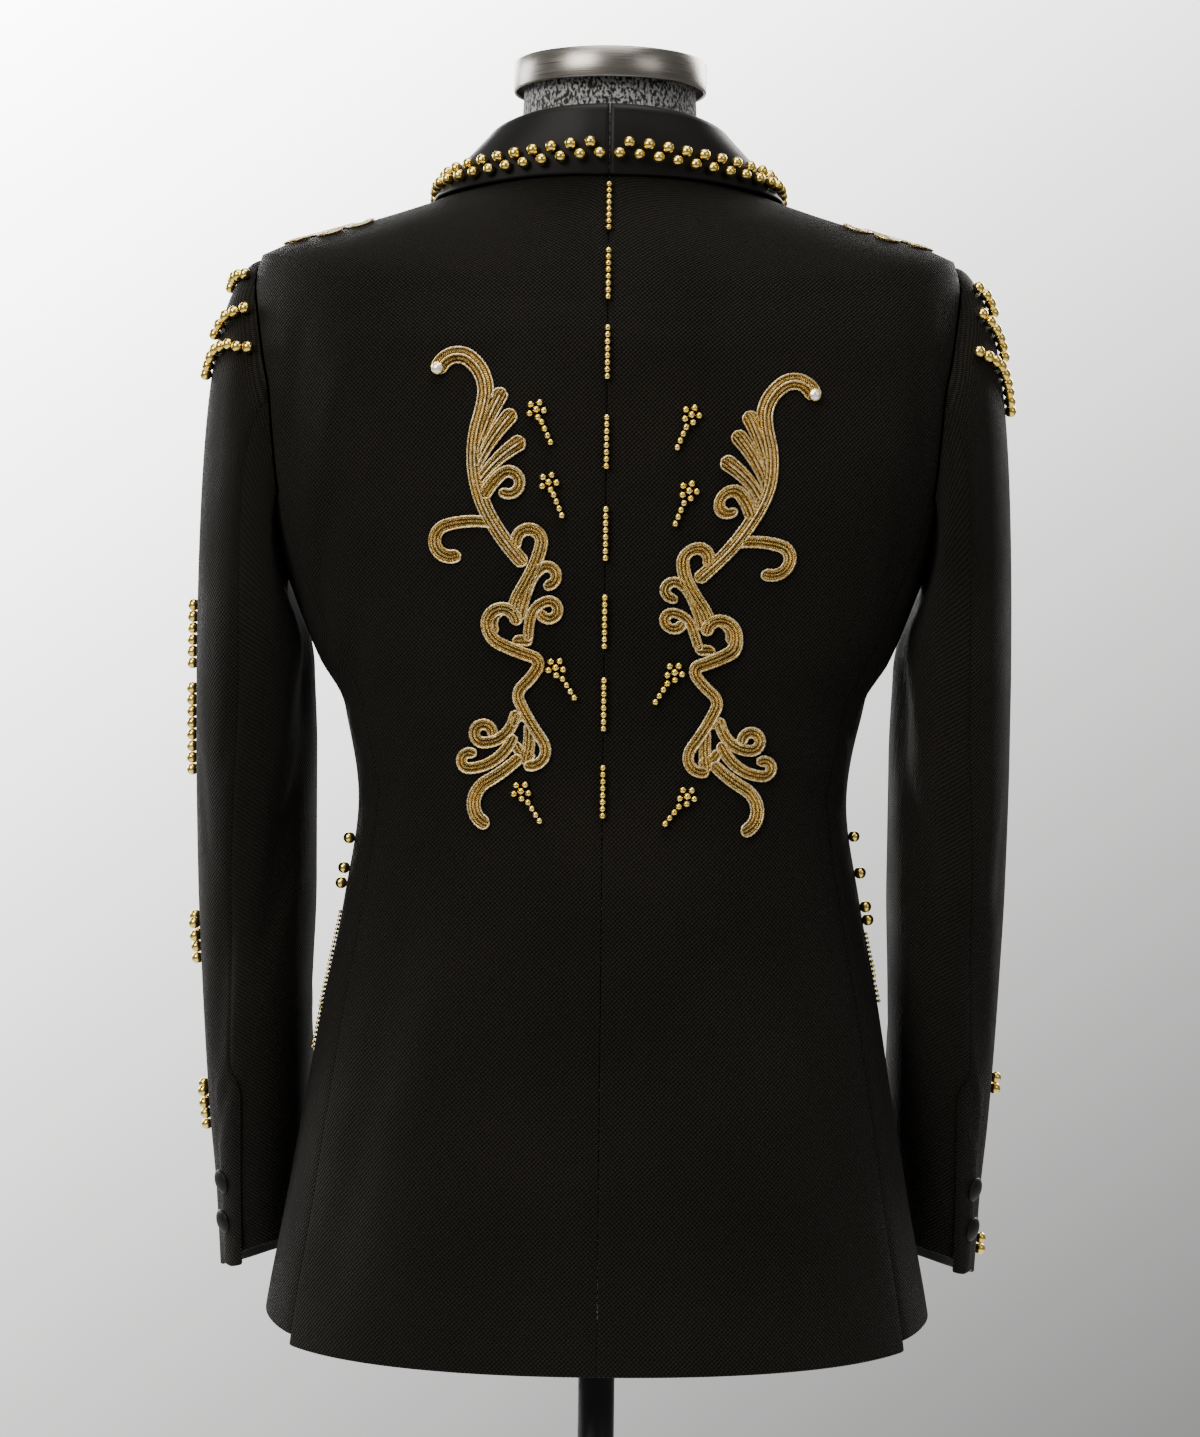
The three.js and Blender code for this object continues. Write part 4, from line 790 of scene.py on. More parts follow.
def sleeveRingPoint(side, degrees, height):
    outer, inner = readTable(sleeveRings, "outer", height), readTable(sleeveRings, "inner", height)
    c, s = np.cos(np.radians(degrees)), np.sin(np.radians(degrees))
    x = (outer + inner) / 2 + (outer - inner) / 2 * powered(c, 2 / sleeve["round"])
    y = readTable(sleeveRings, "middle", height) + readTable(sleeveRings, "depth", height) * powered(
        s, 2 / sleeve["round"])
    return np.stack([side * x, y, height + 0 * x], -1)


def nearCuff(height):
    return np.clip((sleeve["tiltTop"] - height) / (sleeve["tiltTop"] - sleeve["cuff"]), 0, 1)


def sleevePoint(side, k, t):
    # t runs 0 to 1 over the cap, then on down the sleeve to 2 at the cuff
    k, t = np.broadcast_arrays(np.asarray(k, float), np.asarray(t, float))
    start = loopPoint(side, k)
    end = sleeveRingPoint(side, lineAngle(k, 0), np.full(k.shape, float(sleeve["top"])))
    over = np.arctan2(start[..., 1], start[..., 2] - jacket["armholeMiddle"])
    top = (1 + np.cos(over)) / 2
    reach = start[..., 2] - sleeve["top"]
    a = start + np.stack([side * (sleeveCap["out"] + sleeveCap["outTop"] * top),
                          sleeveCap["back"] * np.sin(over),
                          -sleeveCap["fall"] * reach * (1 - top) - sleeveCap["drop"]], -1)
    b = end + np.stack([0 * reach, 0 * reach, sleeveCap["rise"] * reach], -1)
    s = np.clip(t, 0, 1)[..., None]
    cap = start * (1 - s) ** 3 + 3 * a * s * (1 - s) ** 2 + 3 * b * s**2 * (1 - s) + end * s**3
    down = np.clip(t - 1, 0, 1)
    height = sleeve["top"] + (sleeve["cuff"] - sleeve["top"]) * down
    degrees = lineAngle(k, down)
    low = sleeveRingPoint(side, degrees, height)
    turn = np.radians(degrees)
    low[..., 2] += nearCuff(height) * (sleeve["backRise"] * np.sin(turn) - sleeve["outDrop"] * np.cos(turn))
    return np.where((t <= 1)[..., None], cap, low)


def sleeveNormal(side, k, t):
    down, turn = 0.008, 0.06
    low, high = np.maximum(t - down, 0), np.minimum(t + down, 2)
    along = sleevePoint(side, k, high) - sleevePoint(side, k, low)
    around = sleevePoint(side, k + turn, t) - sleevePoint(side, k - turn, t)
    return unit(side * -np.cross(around, along))


def sleeveDown(t):
    return np.clip(t - 1, 0, 1)


def sleeveTurn(height):
    # the t of a height on the sleeve, below the cap or in its lowest part
    return 1 + (sleeve["top"] - height) / (sleeve["top"] - sleeve["cuff"])


def sleeveRelief(side, k, t, z):
    degrees = lineAngle(k, sleeveDown(t))
    depth = np.zeros(z.shape)
    for creaseSide, centre, high, low, deep, wide, slant in sleeveCreases:
        if creaseSide not in (0, side):
            continue
        along = (z - low) / (high - low)
        off = degrees - centre - slant * (along - 0.5)
        shape = np.sin(math.pi * np.clip(along, 0, 1))
        depth += deep * shape * np.exp(-((off / wide) ** 2))
    return depth


def sleeveSurface(side, k, t, lift=0.0):
    k, t = np.broadcast_arrays(np.asarray(k, float), np.asarray(t, float))
    point = sleevePoint(side, k, t)
    normal = sleeveNormal(side, k, t)
    off = lift - sleeveRelief(side, k, t, point[..., 2])
    return point + normal * np.asarray(off)[..., None], normal


def sleevePanel(side, first, last, columns, vent):
    cap = np.linspace(0, 1, sleeve["capRows"]) ** sleeve["capCrowd"]
    below = np.linspace(1, 2, int((sleeve["top"] - sleeve["cuff"]) / sleeve["rowStep"]))[1:-1]
    t = np.concatenate([cap, below, [1.994, 1.998, 2]])[:, None]
    share = clustered(columns)[None, :]
    height = sleeve["top"] + (sleeve["cuff"] - sleeve["top"]) * sleeveDown(t)
    closedBy = sleeve["ventTop"] - sleeve["ventFade"]
    opened = 1 - smoothstep(height, closedBy, sleeve["ventTop"]) if vent else 0 * t
    k = first + (last - first) * share + 0 * t
    lap = smoothstep(share, sleeve["lapFrom"], 1)
    k = k + opened * lap * sleeve["ventLap"] / sleeve["perLine"]
    lift = opened * sleeve["ventLift"] * smoothstep(share, sleeve["liftFrom"], sleeve["liftBy"])
    near = np.stack([share + 0 * t, 1 - share + opened]).min(0)
    dip = seamDip(near, sleeve["width"])
    outer, normal = sleeveSurface(side, k, t, lift - dip)
    if vent:
        tip = nearCuff(height) ** 2 * smoothstep(share, sleeve["flapFrom"], 1)
        outer[..., 2] -= sleeve["flap"] * tip
    gap = jacket["seamGap"] / 2
    for edge, beside in ((0, 1), (-1, -2)):
        outer[:, edge] += unit(outer[:, beside] - outer[:, edge]) * gap
    return outer[::-1], (outer - normal * jacket["cloth"])[::-1]


for name, side in sides:
    for key, first, last, columns, vent, centre in (
            ("top_sleeve", sleeve["frontSeam"], sleeve["backSeam"] + sleeve["turns"], 64, True, 30),
            ("under_sleeve", sleeve["backSeam"], sleeve["frontSeam"], 44, False, 20)):
        grid = sleevePanel(side, first, last, columns, vent)
        pieces[f"{key}_{name}"] = wallPiece(f"{key}_panel_{name}", *grid, {"low": 0.8},
                                            [woolCloth, liningCloth], centre)
print("sleeves made")


# Shawl collar: sections over the fold, spaced along the neck and down the lapel

collarStations = {
    "at": [0, 10, 20, 30, 40, 50, 60, 70, 80, 90],
    "edgeAngle": [0, 11, 22, 33, 43, 53, 62, 71, 81, 91],
    "edgeRow": [1424, 1424, 1423.5, 1422.5, 1421, 1419, 1417, 1415, 1413.5, 1412.5],
    "fold": [38, 37.5, 36.5, 35, 33, 30.5, 28, 25, 22, 19],
}
lapelStations = {
    "at": [1082, 1100, 1130, 1165, 1200, 1250, 1315, 1355, 1390, 1410, 1427],
    "width": [5, 24, 50, 67, 76, 79, 74, 66, 54, 46, 40],
    "fold": [7.5, 8.2, 8.6, 8.6, 8.6, 8.6, 9, 9.6, 11, 13, 16],
}
collar = {
    "foldRadius": 2.6, "falls": 14, "acrossPoints": 46, "alongPoints": 190,
    "neckFold": 16, "neckUpright": 0.85, "neckEdgeRow": 1410.5,
    "sunk": 1.6, "clear": 1.2, "depth": 2, "lean": 1.2, "belly": 1.6, "bow": 2.2, "spare": 1.2,
    "lapelLie": 3.1, "neckLie": 0.65, "uprightFrom": 1340, "uprightBy": 1440,
    "lapelRows": [1418, 1408, 1397, 1387, *sleeve["armholeRows"], 1200, 1165, 1130, 1090, 1088],
}


def collarBases():
    neck = float(frontEdgeAngle(jacket["neckSeam"]))
    bases = []
    for i, angle in enumerate(collarStations["at"]):
        edge = (math.radians(collarStations["edgeAngle"][i]), collarStations["edgeRow"][i])
        bases.append({"angle": math.radians(angle), "row": jacket["neckSeam"], "upright": 1,
                      "fold": collarStations["fold"][i], "edge": edge})
    bases.append({"angle": neck, "row": jacket["neckSeam"], "upright": collar["neckUpright"],
                  "fold": collar["neckFold"], "edge": (neck + math.radians(1), collar["neckEdgeRow"])})
    slope = math.atan2(jacket["rollHighX"] - jacket["rollLowX"],
                       jacket["rollHighZ"] - jacket["breakHeight"])
    for row in collar["lapelRows"]:
        angle = float(frontEdgeAngle(row))
        upright = float(smoothstep(row, collar["uprightFrom"], collar["uprightBy"]))
        start = bodyPoint(1, np.array(angle), np.array(float(row)))
        width = float(readTable(lapelStations, "width", row))
        end = (start[0] + width * math.cos(slope), start[2] - width * math.sin(slope))
        bases.append({"angle": angle, "row": row, "fold": float(readTable(lapelStations, "fold", row)),
                      "upright": upright, "from": (start[0], start[2]), "to": end,
                      "edge": tuple(map(float, placeOn("front", *end)))})
    return bases


def collarSection(side, base):
    angle, row = np.array(base["angle"]), np.array(float(base["row"]))
    normal = bodyNormal(side, angle, row)
    seam = bodyPoint(side, angle, row) + normal * overlapLift(side, angle, row)
    edgeAngle, edgeRow = map(np.array, base["edge"])
    edge = bodyPoint(side, edgeAngle, edgeRow)
    toEdge = edge - seam
    away = unit(toEdge - normal * (toEdge @ normal))
    radial = unit(np.array([seam[0], seam[1], 0]))
    upright = base["upright"]
    up = unit(np.array([0, 0, 1]) * upright + normal * (1 - upright))
    out = away * (1 - upright) + radial * upright
    out = unit(out - up * (out @ up))
    bottom = seam + normal * (jacket["layGap"] * upright - collar["sunk"] * (1 - upright))
    bottom = bottom - away * (jacket["layGap"] + collar["clear"]) * (1 - upright)
    foot = bottom - out * collar["depth"]
    top = bottom + up * base["fold"] + out * collar["lean"]
    middle = (foot + top) / 2 - out * collar["belly"]
    r = collar["foldRadius"]
    points = [foot, middle, top - (up + out) * r, top, top + (out - up) * r]
    lie = collar["depth"] + jacket["layGap"] + collar["lapelLie"]
    lie = lie + (collar["neckLie"] - collar["lapelLie"]) * upright
    end = edge + bodyNormal(side, edgeAngle, edgeRow) * (lie + overlapLift(side, edgeAngle, edgeRow))
    u = np.linspace(0, 1, collar["falls"] + 1)[1:]
    if "to" in base:
        (x0, z0), (x1, z1) = base["from"], base["to"]
        angles, rows = placeOn("front", x0 + (x1 - x0) * u, z0 + (z1 - z0) * u)
    else:
        angles = angle + (edgeAngle - angle) * u
        rows = row + (edgeRow - row) * u
    at, off = bodyPoint(side, angles, rows), bodyNormal(side, angles, rows)
    bow = collar["bow"] * np.sin(math.pi * u)[:, None] * out
    fall = points[4] * (1 - u)[:, None] + end * u[:, None] + bow
    height = ((fall - at) * off).sum(-1)
    least = lie + overlapLift(side, angles, rows) + collar["spare"] * (1 - u)
    fall = fall + off * np.maximum(least - height, 0)[:, None]
    return np.array([*points, *fall])


def smoothLine(grid, count, tight=0.0):
    # a smooth line through the grid's rows, resampled by length
    steps = np.linalg.norm(np.diff(grid, axis=0), axis=-1)
    steps = np.maximum(steps.reshape(len(grid) - 1, -1).mean(1), 1e-6)
    x = np.concatenate([[0], steps.cumsum()])
    shape = (-1, *[1] * (grid.ndim - 1))
    slopes = np.diff(grid, axis=0) / steps.reshape(shape)
    weight = (steps[1:] / (steps[1:] + steps[:-1])).reshape(shape)
    inner = slopes[:-1] * weight + slopes[1:] * (1 - weight)
    tangents = np.concatenate([slopes[:1], inner, slopes[-1:]])
    at = clustered(count, tight) * x[-1]
    i = np.clip(np.searchsorted(x, at, side="right") - 1, 0, len(x) - 2)
    step = steps[i].reshape(shape)
    t = ((at - x[i]) / steps[i]).reshape(shape)
    return hermite(t, step, grid[i], grid[i + 1], tangents[i], tangents[i + 1])


def gridNormals(grid, side):
    across, along = np.gradient(grid, axis=1), np.gradient(grid, axis=0)
    return unit(side * np.cross(along, across))


def collarGrid(side):
    coarse = np.array([collarSection(side, base) for base in collarBases()])
    coarse[0, :, 0] = side * jacket["seamGap"] / 2
    across = np.swapaxes(smoothLine(np.swapaxes(coarse, 0, 1), collar["acrossPoints"], 0.35), 0, 1)
    return smoothLine(across, collar["alongPoints"])


collars = {}
for name, side in sides:
    outer = collarGrid(side)
    normals = gridNormals(outer, side)
    normals[0, :, 0] = 0
    normals = unit(normals)
    collars[name] = (outer, normals)
    pieces["shawl_" + name] = wallPiece("shawl_collar_" + name, outer, outer - normals * jacket["cloth"],
                                        {"end": 0.8, "high": 0.5}, [satinCloth, satinCloth])
print("shawl collar made")


# Beads: one tree sets a bead on every point of a mesh, with its hole along the thread

def makeBeadTree():
    tree, given, out = newGroup(
        "beads on points", "GeometryNodeTree",
        [("Geometry", "NodeSocketGeometry", None), ("Bead Radius", "NodeSocketFloat", 0.0035),
         ("Hole", "NodeSocketFloat", 0.2), ("Segments", "NodeSocketInt", 16),
         ("Rings", "NodeSocketInt", 9), ("Uneven", "NodeSocketFloat", 0.04),
         ("Seed", "NodeSocketInt", 3), ("Material", "NodeSocketMaterial", None)],
        [("Geometry", "NodeSocketGeometry")])
    tree.is_modifier = True
    radius = given.outputs["Bead Radius"]
    ball = put(tree, "GeometryNodeMeshUVSphere", {"Segments": given.outputs["Segments"],
                                                  "Rings": given.outputs["Rings"], "Radius": radius})
    parts = put(tree, "ShaderNodeSeparateXYZ", {0: put(tree, "GeometryNodeInputPosition").outputs[0]})
    height = maths(tree, "ABSOLUTE", parts.outputs["Z"])
    pole = maths(tree, "GREATER_THAN", height, maths(tree, "MULTIPLY", radius, 0.98))
    depth = maths(tree, "MULTIPLY", given.outputs["Hole"], -1.0)
    sunk = put(tree, "ShaderNodeCombineXYZ", {2: maths(tree, "MULTIPLY", parts.outputs["Z"], depth)})
    holed = put(tree, "GeometryNodeSetPosition", {"Geometry": ball.outputs["Mesh"], "Selection": pole,
                                                  "Offset": sunk.outputs[0]})
    smooth = put(tree, "GeometryNodeSetShadeSmooth", {"Geometry": holed.outputs[0]})
    axis = put(tree, "GeometryNodeInputNamedAttribute", {"Name": "axis"}, data_type="FLOAT_VECTOR")
    aligned = put(tree, "FunctionNodeAlignRotationToVector", {"Vector": axis.outputs["Attribute"]},
                  axis="Z")
    spread = given.outputs["Uneven"]
    size = put(tree, "FunctionNodeRandomValue", {
        "Min": maths(tree, "SUBTRACT", 1.0, spread), "Max": maths(tree, "ADD", 1.0, spread),
        "Seed": given.outputs["Seed"]}, data_type="FLOAT")
    placed = put(tree, "GeometryNodeInstanceOnPoints", {
        "Points": given.outputs["Geometry"], "Instance": smooth.outputs[0],
        "Rotation": aligned.outputs[0]})
    sizeSocket = next(s for s in size.outputs if s.enabled)
    tree.links.new(sizeSocket, placed.inputs["Scale"])
    real = put(tree, "GeometryNodeRealizeInstances", {"Geometry": placed.outputs[0]})
    painted = put(tree, "GeometryNodeSetMaterial", {"Geometry": real.outputs[0],
                                                    "Material": given.outputs["Material"]})
    tree.links.new(painted.outputs[0], out.inputs["Geometry"])
    return tree


def makeCordTree():
    # a twisted cord along every line of a mesh
    tree, given, out = newGroup(
        "twisted cord", "GeometryNodeTree",
        [("Geometry", "NodeSocketGeometry", None), ("Cord Radius", "NodeSocketFloat", 0.0006),
         ("Step", "NodeSocketFloat", 0.0007), ("Twist Pitch", "NodeSocketFloat", 0.0028),
         ("Twist Depth", "NodeSocketFloat", 0.0001), ("Sides", "NodeSocketInt", 7),
         ("Material", "NodeSocketMaterial", None)],
        [("Geometry", "NodeSocketGeometry")])
    tree.is_modifier = True
    curve = put(tree, "GeometryNodeMeshToCurve", {"Mesh": given.outputs["Geometry"]})
    spaced = put(tree, "GeometryNodeResampleCurve", {"Curve": curve.outputs[0],
                                                     "Length": given.outputs["Step"]}, mode="LENGTH")
    along = put(tree, "GeometryNodeSplineParameter")
    marked = put(tree, "GeometryNodeStoreNamedAttribute", {
        "Geometry": spaced.outputs[0], "Name": "along", "Value": along.outputs["Length"]},
        data_type="FLOAT", domain="POINT")
    ring = put(tree, "GeometryNodeCurvePrimitiveCircle", {"Resolution": given.outputs["Sides"],
                                                          "Radius": given.outputs["Cord Radius"]})
    around = put(tree, "GeometryNodeSplineParameter")
    ringMarked = put(tree, "GeometryNodeStoreNamedAttribute", {
        "Geometry": ring.outputs[0], "Name": "around", "Value": around.outputs["Factor"]},
        data_type="FLOAT", domain="POINT")
    tube = put(tree, "GeometryNodeCurveToMesh", {"Curve": marked.outputs[0],
                                                 "Profile Curve": ringMarked.outputs[0]})
    readAlong = put(tree, "GeometryNodeInputNamedAttribute", {"Name": "along"}, data_type="FLOAT")
    readAround = put(tree, "GeometryNodeInputNamedAttribute", {"Name": "around"}, data_type="FLOAT")
    turns = maths(tree, "DIVIDE", readAlong.outputs["Attribute"], given.outputs["Twist Pitch"])
    plies = maths(tree, "MULTIPLY", readAround.outputs["Attribute"], 2.0)
    turned = maths(tree, "MULTIPLY", maths(tree, "SUBTRACT", plies, turns), math.tau)
    wave = maths(tree, "COSINE", turned)
    push = maths(tree, "MULTIPLY", wave, given.outputs["Twist Depth"])
    shift = put(tree, "ShaderNodeVectorMath", {0: put(tree, "GeometryNodeInputNormal").outputs[0],
                                               "Scale": push}, operation="SCALE")
    twisted = put(tree, "GeometryNodeSetPosition", {"Geometry": tube.outputs[0],
                                                    "Offset": shift.outputs[0]})
    smooth = put(tree, "GeometryNodeSetShadeSmooth", {"Geometry": twisted.outputs[0]})
    real = put(tree, "GeometryNodeRealizeInstances", {"Geometry": smooth.outputs[0]})
    painted = put(tree, "GeometryNodeSetMaterial", {"Geometry": real.outputs[0],
                                                    "Material": given.outputs["Material"]})
    tree.links.new(painted.outputs[0], out.inputs["Geometry"])
    return tree


beadTree = makeBeadTree()
cordTree = makeCordTree()


def throughTree(name, points, edges, tree, values, axes=None):
    # points in millimetres; the tree's result becomes a plain mesh
    mesh = bpy.data.meshes.new(name + "_points")
    mesh.from_pydata((np.asarray(points, float) * mm).tolist(), edges, [])
    if axes is not None:
        stored = mesh.attributes.new("axis", "FLOAT_VECTOR", "POINT")
        stored.data.foreach_set("vector", np.asarray(axes, np.float32).ravel())
    piece = bpy.data.objects.new(name, mesh)
    bpy.context.scene.collection.objects.link(piece)
    modifier = piece.modifiers.new("nodes", "NODES")
    modifier.node_group = tree
    sockets = {s.name: s.identifier for s in tree.interface.items_tree if s.in_out == "INPUT"}
    for key, value in values.items():
        modifier[sockets[key]] = value
    evaluated = piece.evaluated_get(bpy.context.evaluated_depsgraph_get())
    made = bpy.data.meshes.new_from_object(evaluated)
    piece.modifiers.remove(modifier)
    piece.data = made
    made.name = name
    return piece


beadSizes = {
    "large": {"radius": 3.55, "segments": 18, "rings": 11},
    "small": {"radius": 2.05, "segments": 12, "rings": 8},
    "tiny": {"radius": 1.15, "segments": 10, "rings": 6},
}


def makeBeads(name, size, points, axes, seed=3):
    kind = beadSizes[size]
    values = {"Bead Radius": kind["radius"] * mm, "Segments": kind["segments"], "Rings": kind["rings"],
              "Hole": 0.22, "Uneven": 0.035, "Seed": seed, "Material": beadGold}
    return throughTree(name, points, [], beadTree, values, axes)


def runAlong(line):
    # the length of a line up to each of its points
    return np.concatenate([[0], np.linalg.norm(np.diff(line, axis=0), axis=-1).cumsum()])


def runAxes(points):
    return unit(np.gradient(np.asarray(points, float), axis=0))


sit = 0.93  # how far up a bead's middle sits, as a share of its radius

# Two staggered rows along the collar's outer edge, a little further from it at the centre back
collarBeadRows = {"insets": [6.5, 13], "starts": [5.5, 11], "pitch": 11.3, "narrowest": 16,
                  "rise": 5, "riseHalf": 40}


def collarBeadPlaces(outer, normals):
    points, axes = [], []
    for inset, start in zip(collarBeadRows["insets"], collarBeadRows["starts"]):
        line = []
        for r in range(len(outer)):
            back = outer[r][::-1]
            run = runAlong(back)
            if run[-1] < collarBeadRows["narrowest"] + inset:
                break
            rise = math.exp(-((back[0, 0] / collarBeadRows["riseHalf"]) ** 2)) if back[0, 1] > 0 else 0
            far = inset + collarBeadRows["rise"] * rise
            spot = np.array([np.interp(far, run, back[:, i]) for i in range(3)])
            off = np.array([np.interp(far, run, normals[r][::-1][:, i]) for i in range(3)])
            line.append(np.concatenate([spot, unit(off)]))
        line = np.array(line)
        run = runAlong(line[:, :3])
        at = np.arange(start, run[-1], collarBeadRows["pitch"])
        spots = np.stack([np.interp(at, run, line[:, i]) for i in range(6)], -1)
        lift = sit * beadSizes["large"]["radius"]
        points.append(spots[:, :3] + unit(spots[:, 3:]) * lift)
        axes.append(runAxes(spots[:, :3]))
    return np.concatenate(points), np.concatenate(axes)


for name, side in sides:
    points, axes = collarBeadPlaces(*collars[name])
    pieces["beads_collar_" + name] = makeBeads("beads_collar_" + name, "large", points, axes, 5 + side)


# Beads of the back: eight dashes down the centre seam, and small clusters beside them
dashes = {
    "pitch": 3.95, "beads": 8,
    "tops": [1414, 1372, 1326, 1275, 1223, 1173, 1126, 1076],
}
clusters = {
    # out from the centre, the flower head's height, and its tail's way from behind (0 right, 90 up)
    "left": [(40, 1279, -66), (32.5, 1238, -68), (27.5, 1133, -58), (46.5, 1062, -58)],
    "right": [(48, 1277, -113), (47, 1234, -112), (40, 1131, -122), (48, 1060, -128)],
    "ring": 4.4, "petals": 5, "firstPetal": 36, "headLift": 1.35,
    "tailStart": 7.6, "tailPitch": 4.2, "tailBeads": 4,
}


def onBack(side, out, up, lift):
    angle, row = placeOn("back", np.abs(out), up)
    return clothPoint(side, angle, row, lift)[0]


small = beadSizes["small"]["radius"]
points, axes = [], []
for top in dashes["tops"]:
    heights = top - dashes["pitch"] * np.arange(dashes["beads"])
    line = onBack(1, np.full(len(heights), 0.02), heights, small * sit)
    points.append(line)
    axes.append(runAxes(line))
pieces["beads_centre_back"] = makeBeads("beads_centre_back", "small", np.concatenate(points),
                                        np.concatenate(axes), 11)

for name, side in sides:
    points, axes = [], []
    for out, up, heading in clusters[name]:
        toward = math.radians(heading)
        dx, dz = -side * math.cos(toward), math.sin(toward)
        turns = np.arange(clusters["petals"]) * math.tau / clusters["petals"]
        ring = [(clusters["ring"] * math.cos(a), clusters["ring"] * math.sin(a))
                for a in toward + math.radians(clusters["firstPetal"]) + turns]
        tail = [(dx * d, dz * d) for d in
                clusters["tailStart"] + clusters["tailPitch"] * np.arange(clusters["tailBeads"])]
        outs = np.array([0, *[a for a, _ in ring], *[a for a, _ in tail]])
        ups = np.array([0, *[b for _, b in ring], *[b for _, b in tail]])
        lift = np.full(len(outs), small * sit)
        lift[0] = small * clusters["headLift"]
        line = onBack(side, out + outs, up + ups, lift)
        points.append(line)
        axes.append(np.tile(unit(line[-1] - line[0]), (len(line), 1)))
    pieces["beads_clusters_" + name] = makeBeads("beads_clusters_" + name, "small",
                                                 np.concatenate(points), np.concatenate(axes), 17 + side)
print("collar and back beads made")


# Large beads of the sleeves: arcs on the head, lines and flower clusters down the outside
headArcs = {
    # beads, then the lines round and the steps down from the armhole at the arc's two ends
    "left": [(5, 1.1, -0.1, 0.6, 1.9), (5, 2.5, 1.45, 0.7, 2.8), (8, 3.6, 1.1, 0.9, 3.6)],
    "right": [(4, 1.1, 0.4, 1.1, 2.4), (6, 2.1, 0.8, 1.4, 3.2), (9, 3.2, 0.9, 1.6, 3.9)],
    "capSteps": [0, 0.1, 0.22, 0.36, 0.52, 0.7, 0.86, 1], "pitch": 7.25, "bend": 1.5,
    "samples": 60, "past": 1.15,
}
outsideBeads = {
    "left": {"lines": [(6, 1170, 1135), (8, 1120, 1071)], "clusters": [974, 869]},
    "right": {"lines": [(2, 886, 879), (2, 782, 775)], "clusters": []},
    "cluster": [(0, -8), (0.45, -4), (-0.45, -4), (0.3, 4), (-0.3, 4), (0, 11), (0, 18)],
}


def sleeveBeads(name, side):
    lift = beadSizes["large"]["radius"] * sit
    points, axes = [], []

    def addRun(k, t, axis=None):
        line = sleeveSurface(side, k, t, lift)[0]
        points.append(line)
        axes.append(runAxes(line) if axis is None else np.tile(axis, (len(line), 1)))

    for beads, lineA, lineB, stepA, stepB in headArcs[name]:
        share = np.linspace(0, headArcs["past"], headArcs["samples"])
        capSteps = headArcs["capSteps"]
        t = np.interp(stepA + (stepB - stepA) * share, np.arange(len(capSteps)), capSteps)
        k = lineA + (lineB - lineA) * share ** headArcs["bend"]
        path = sleeveSurface(side, k, t, lift)[0]
        run = runAlong(path)
        at = headArcs["pitch"] * np.arange(beads)
        addRun(np.interp(at, run, k), np.interp(at, run, t))
    steps = np.linspace(0, 2, 400)
    heights = sleevePoint(side, 0 * steps, steps)[:, 2]
    for beads, high, low in outsideBeads[name]["lines"]:
        addRun(np.zeros(beads), np.interp(-np.linspace(high, low, beads), -heights, steps))
    for height in outsideBeads[name]["clusters"]:
        spots = np.array(outsideBeads["cluster"])
        addRun(np.mod(spots[:, 0], sleeve["turns"]), sleeveTurn(height - spots[:, 1]), (0, 0, 1))
    return np.concatenate(points), np.concatenate(axes)


for name, side in sides:
    pieces["beads_sleeve_" + name] = makeBeads("beads_sleeve_" + name, "large", *sleeveBeads(name, side),
                                               23 + side)


# Large beads and strings of tiny ones at the sides of the waist
sideBalls = {
    "left": [(84, 1031), (86, 1013), (86, 1004)],
    "right": [(84, 1035), (86, 1013), (86, 993), (87, 985)],
}
sideStrings = {
    # first and last place of each string: degrees round and height
    "left": [((92, 986), (88, 950)), ((93, 962), (90, 930)), ((95, 940), (91, 905))],
    "right": [((92, 976), (88, 952)), ((95, 958), (91, 936))],
    "pitch": 2.5, "perDegree": 2.8, "bend": 1.2,
}


def stringPlaces(side, first, last):
    (angleA, rowA), (angleB, rowB) = first, last
    length = math.hypot((angleB - angleA) * sideStrings["perDegree"], rowB - rowA)
    share = np.linspace(0, 1, int(length / sideStrings["pitch"]))
    angle = np.radians(angleA + (angleB - angleA) * share + sideStrings["bend"] * np.sin(math.pi * share))
    return clothPoint(side, angle, rowA + (rowB - rowA) * share, beadSizes["tiny"]["radius"] * sit)[0]


for name, side in sides:
    spots = np.array(sideBalls[name], float)
    line = clothPoint(side, np.radians(spots[:, 0]), spots[:, 1], beadSizes["large"]["radius"] * sit)[0]
    pieces["beads_side_" + name] = makeBeads("beads_side_" + name, "large", line,
                                             np.tile((0, 0, 1.0), (len(line), 1)), 31 + side)
    lines = [stringPlaces(side, *ends) for ends in sideStrings[name]]
    axes = np.concatenate([runAxes(line) for line in lines])
    pieces["beads_strings_" + name] = makeBeads("beads_strings_" + name, "tiny", np.concatenate(lines),
                                                axes, 37 + side)
print("sleeve and side beads made")


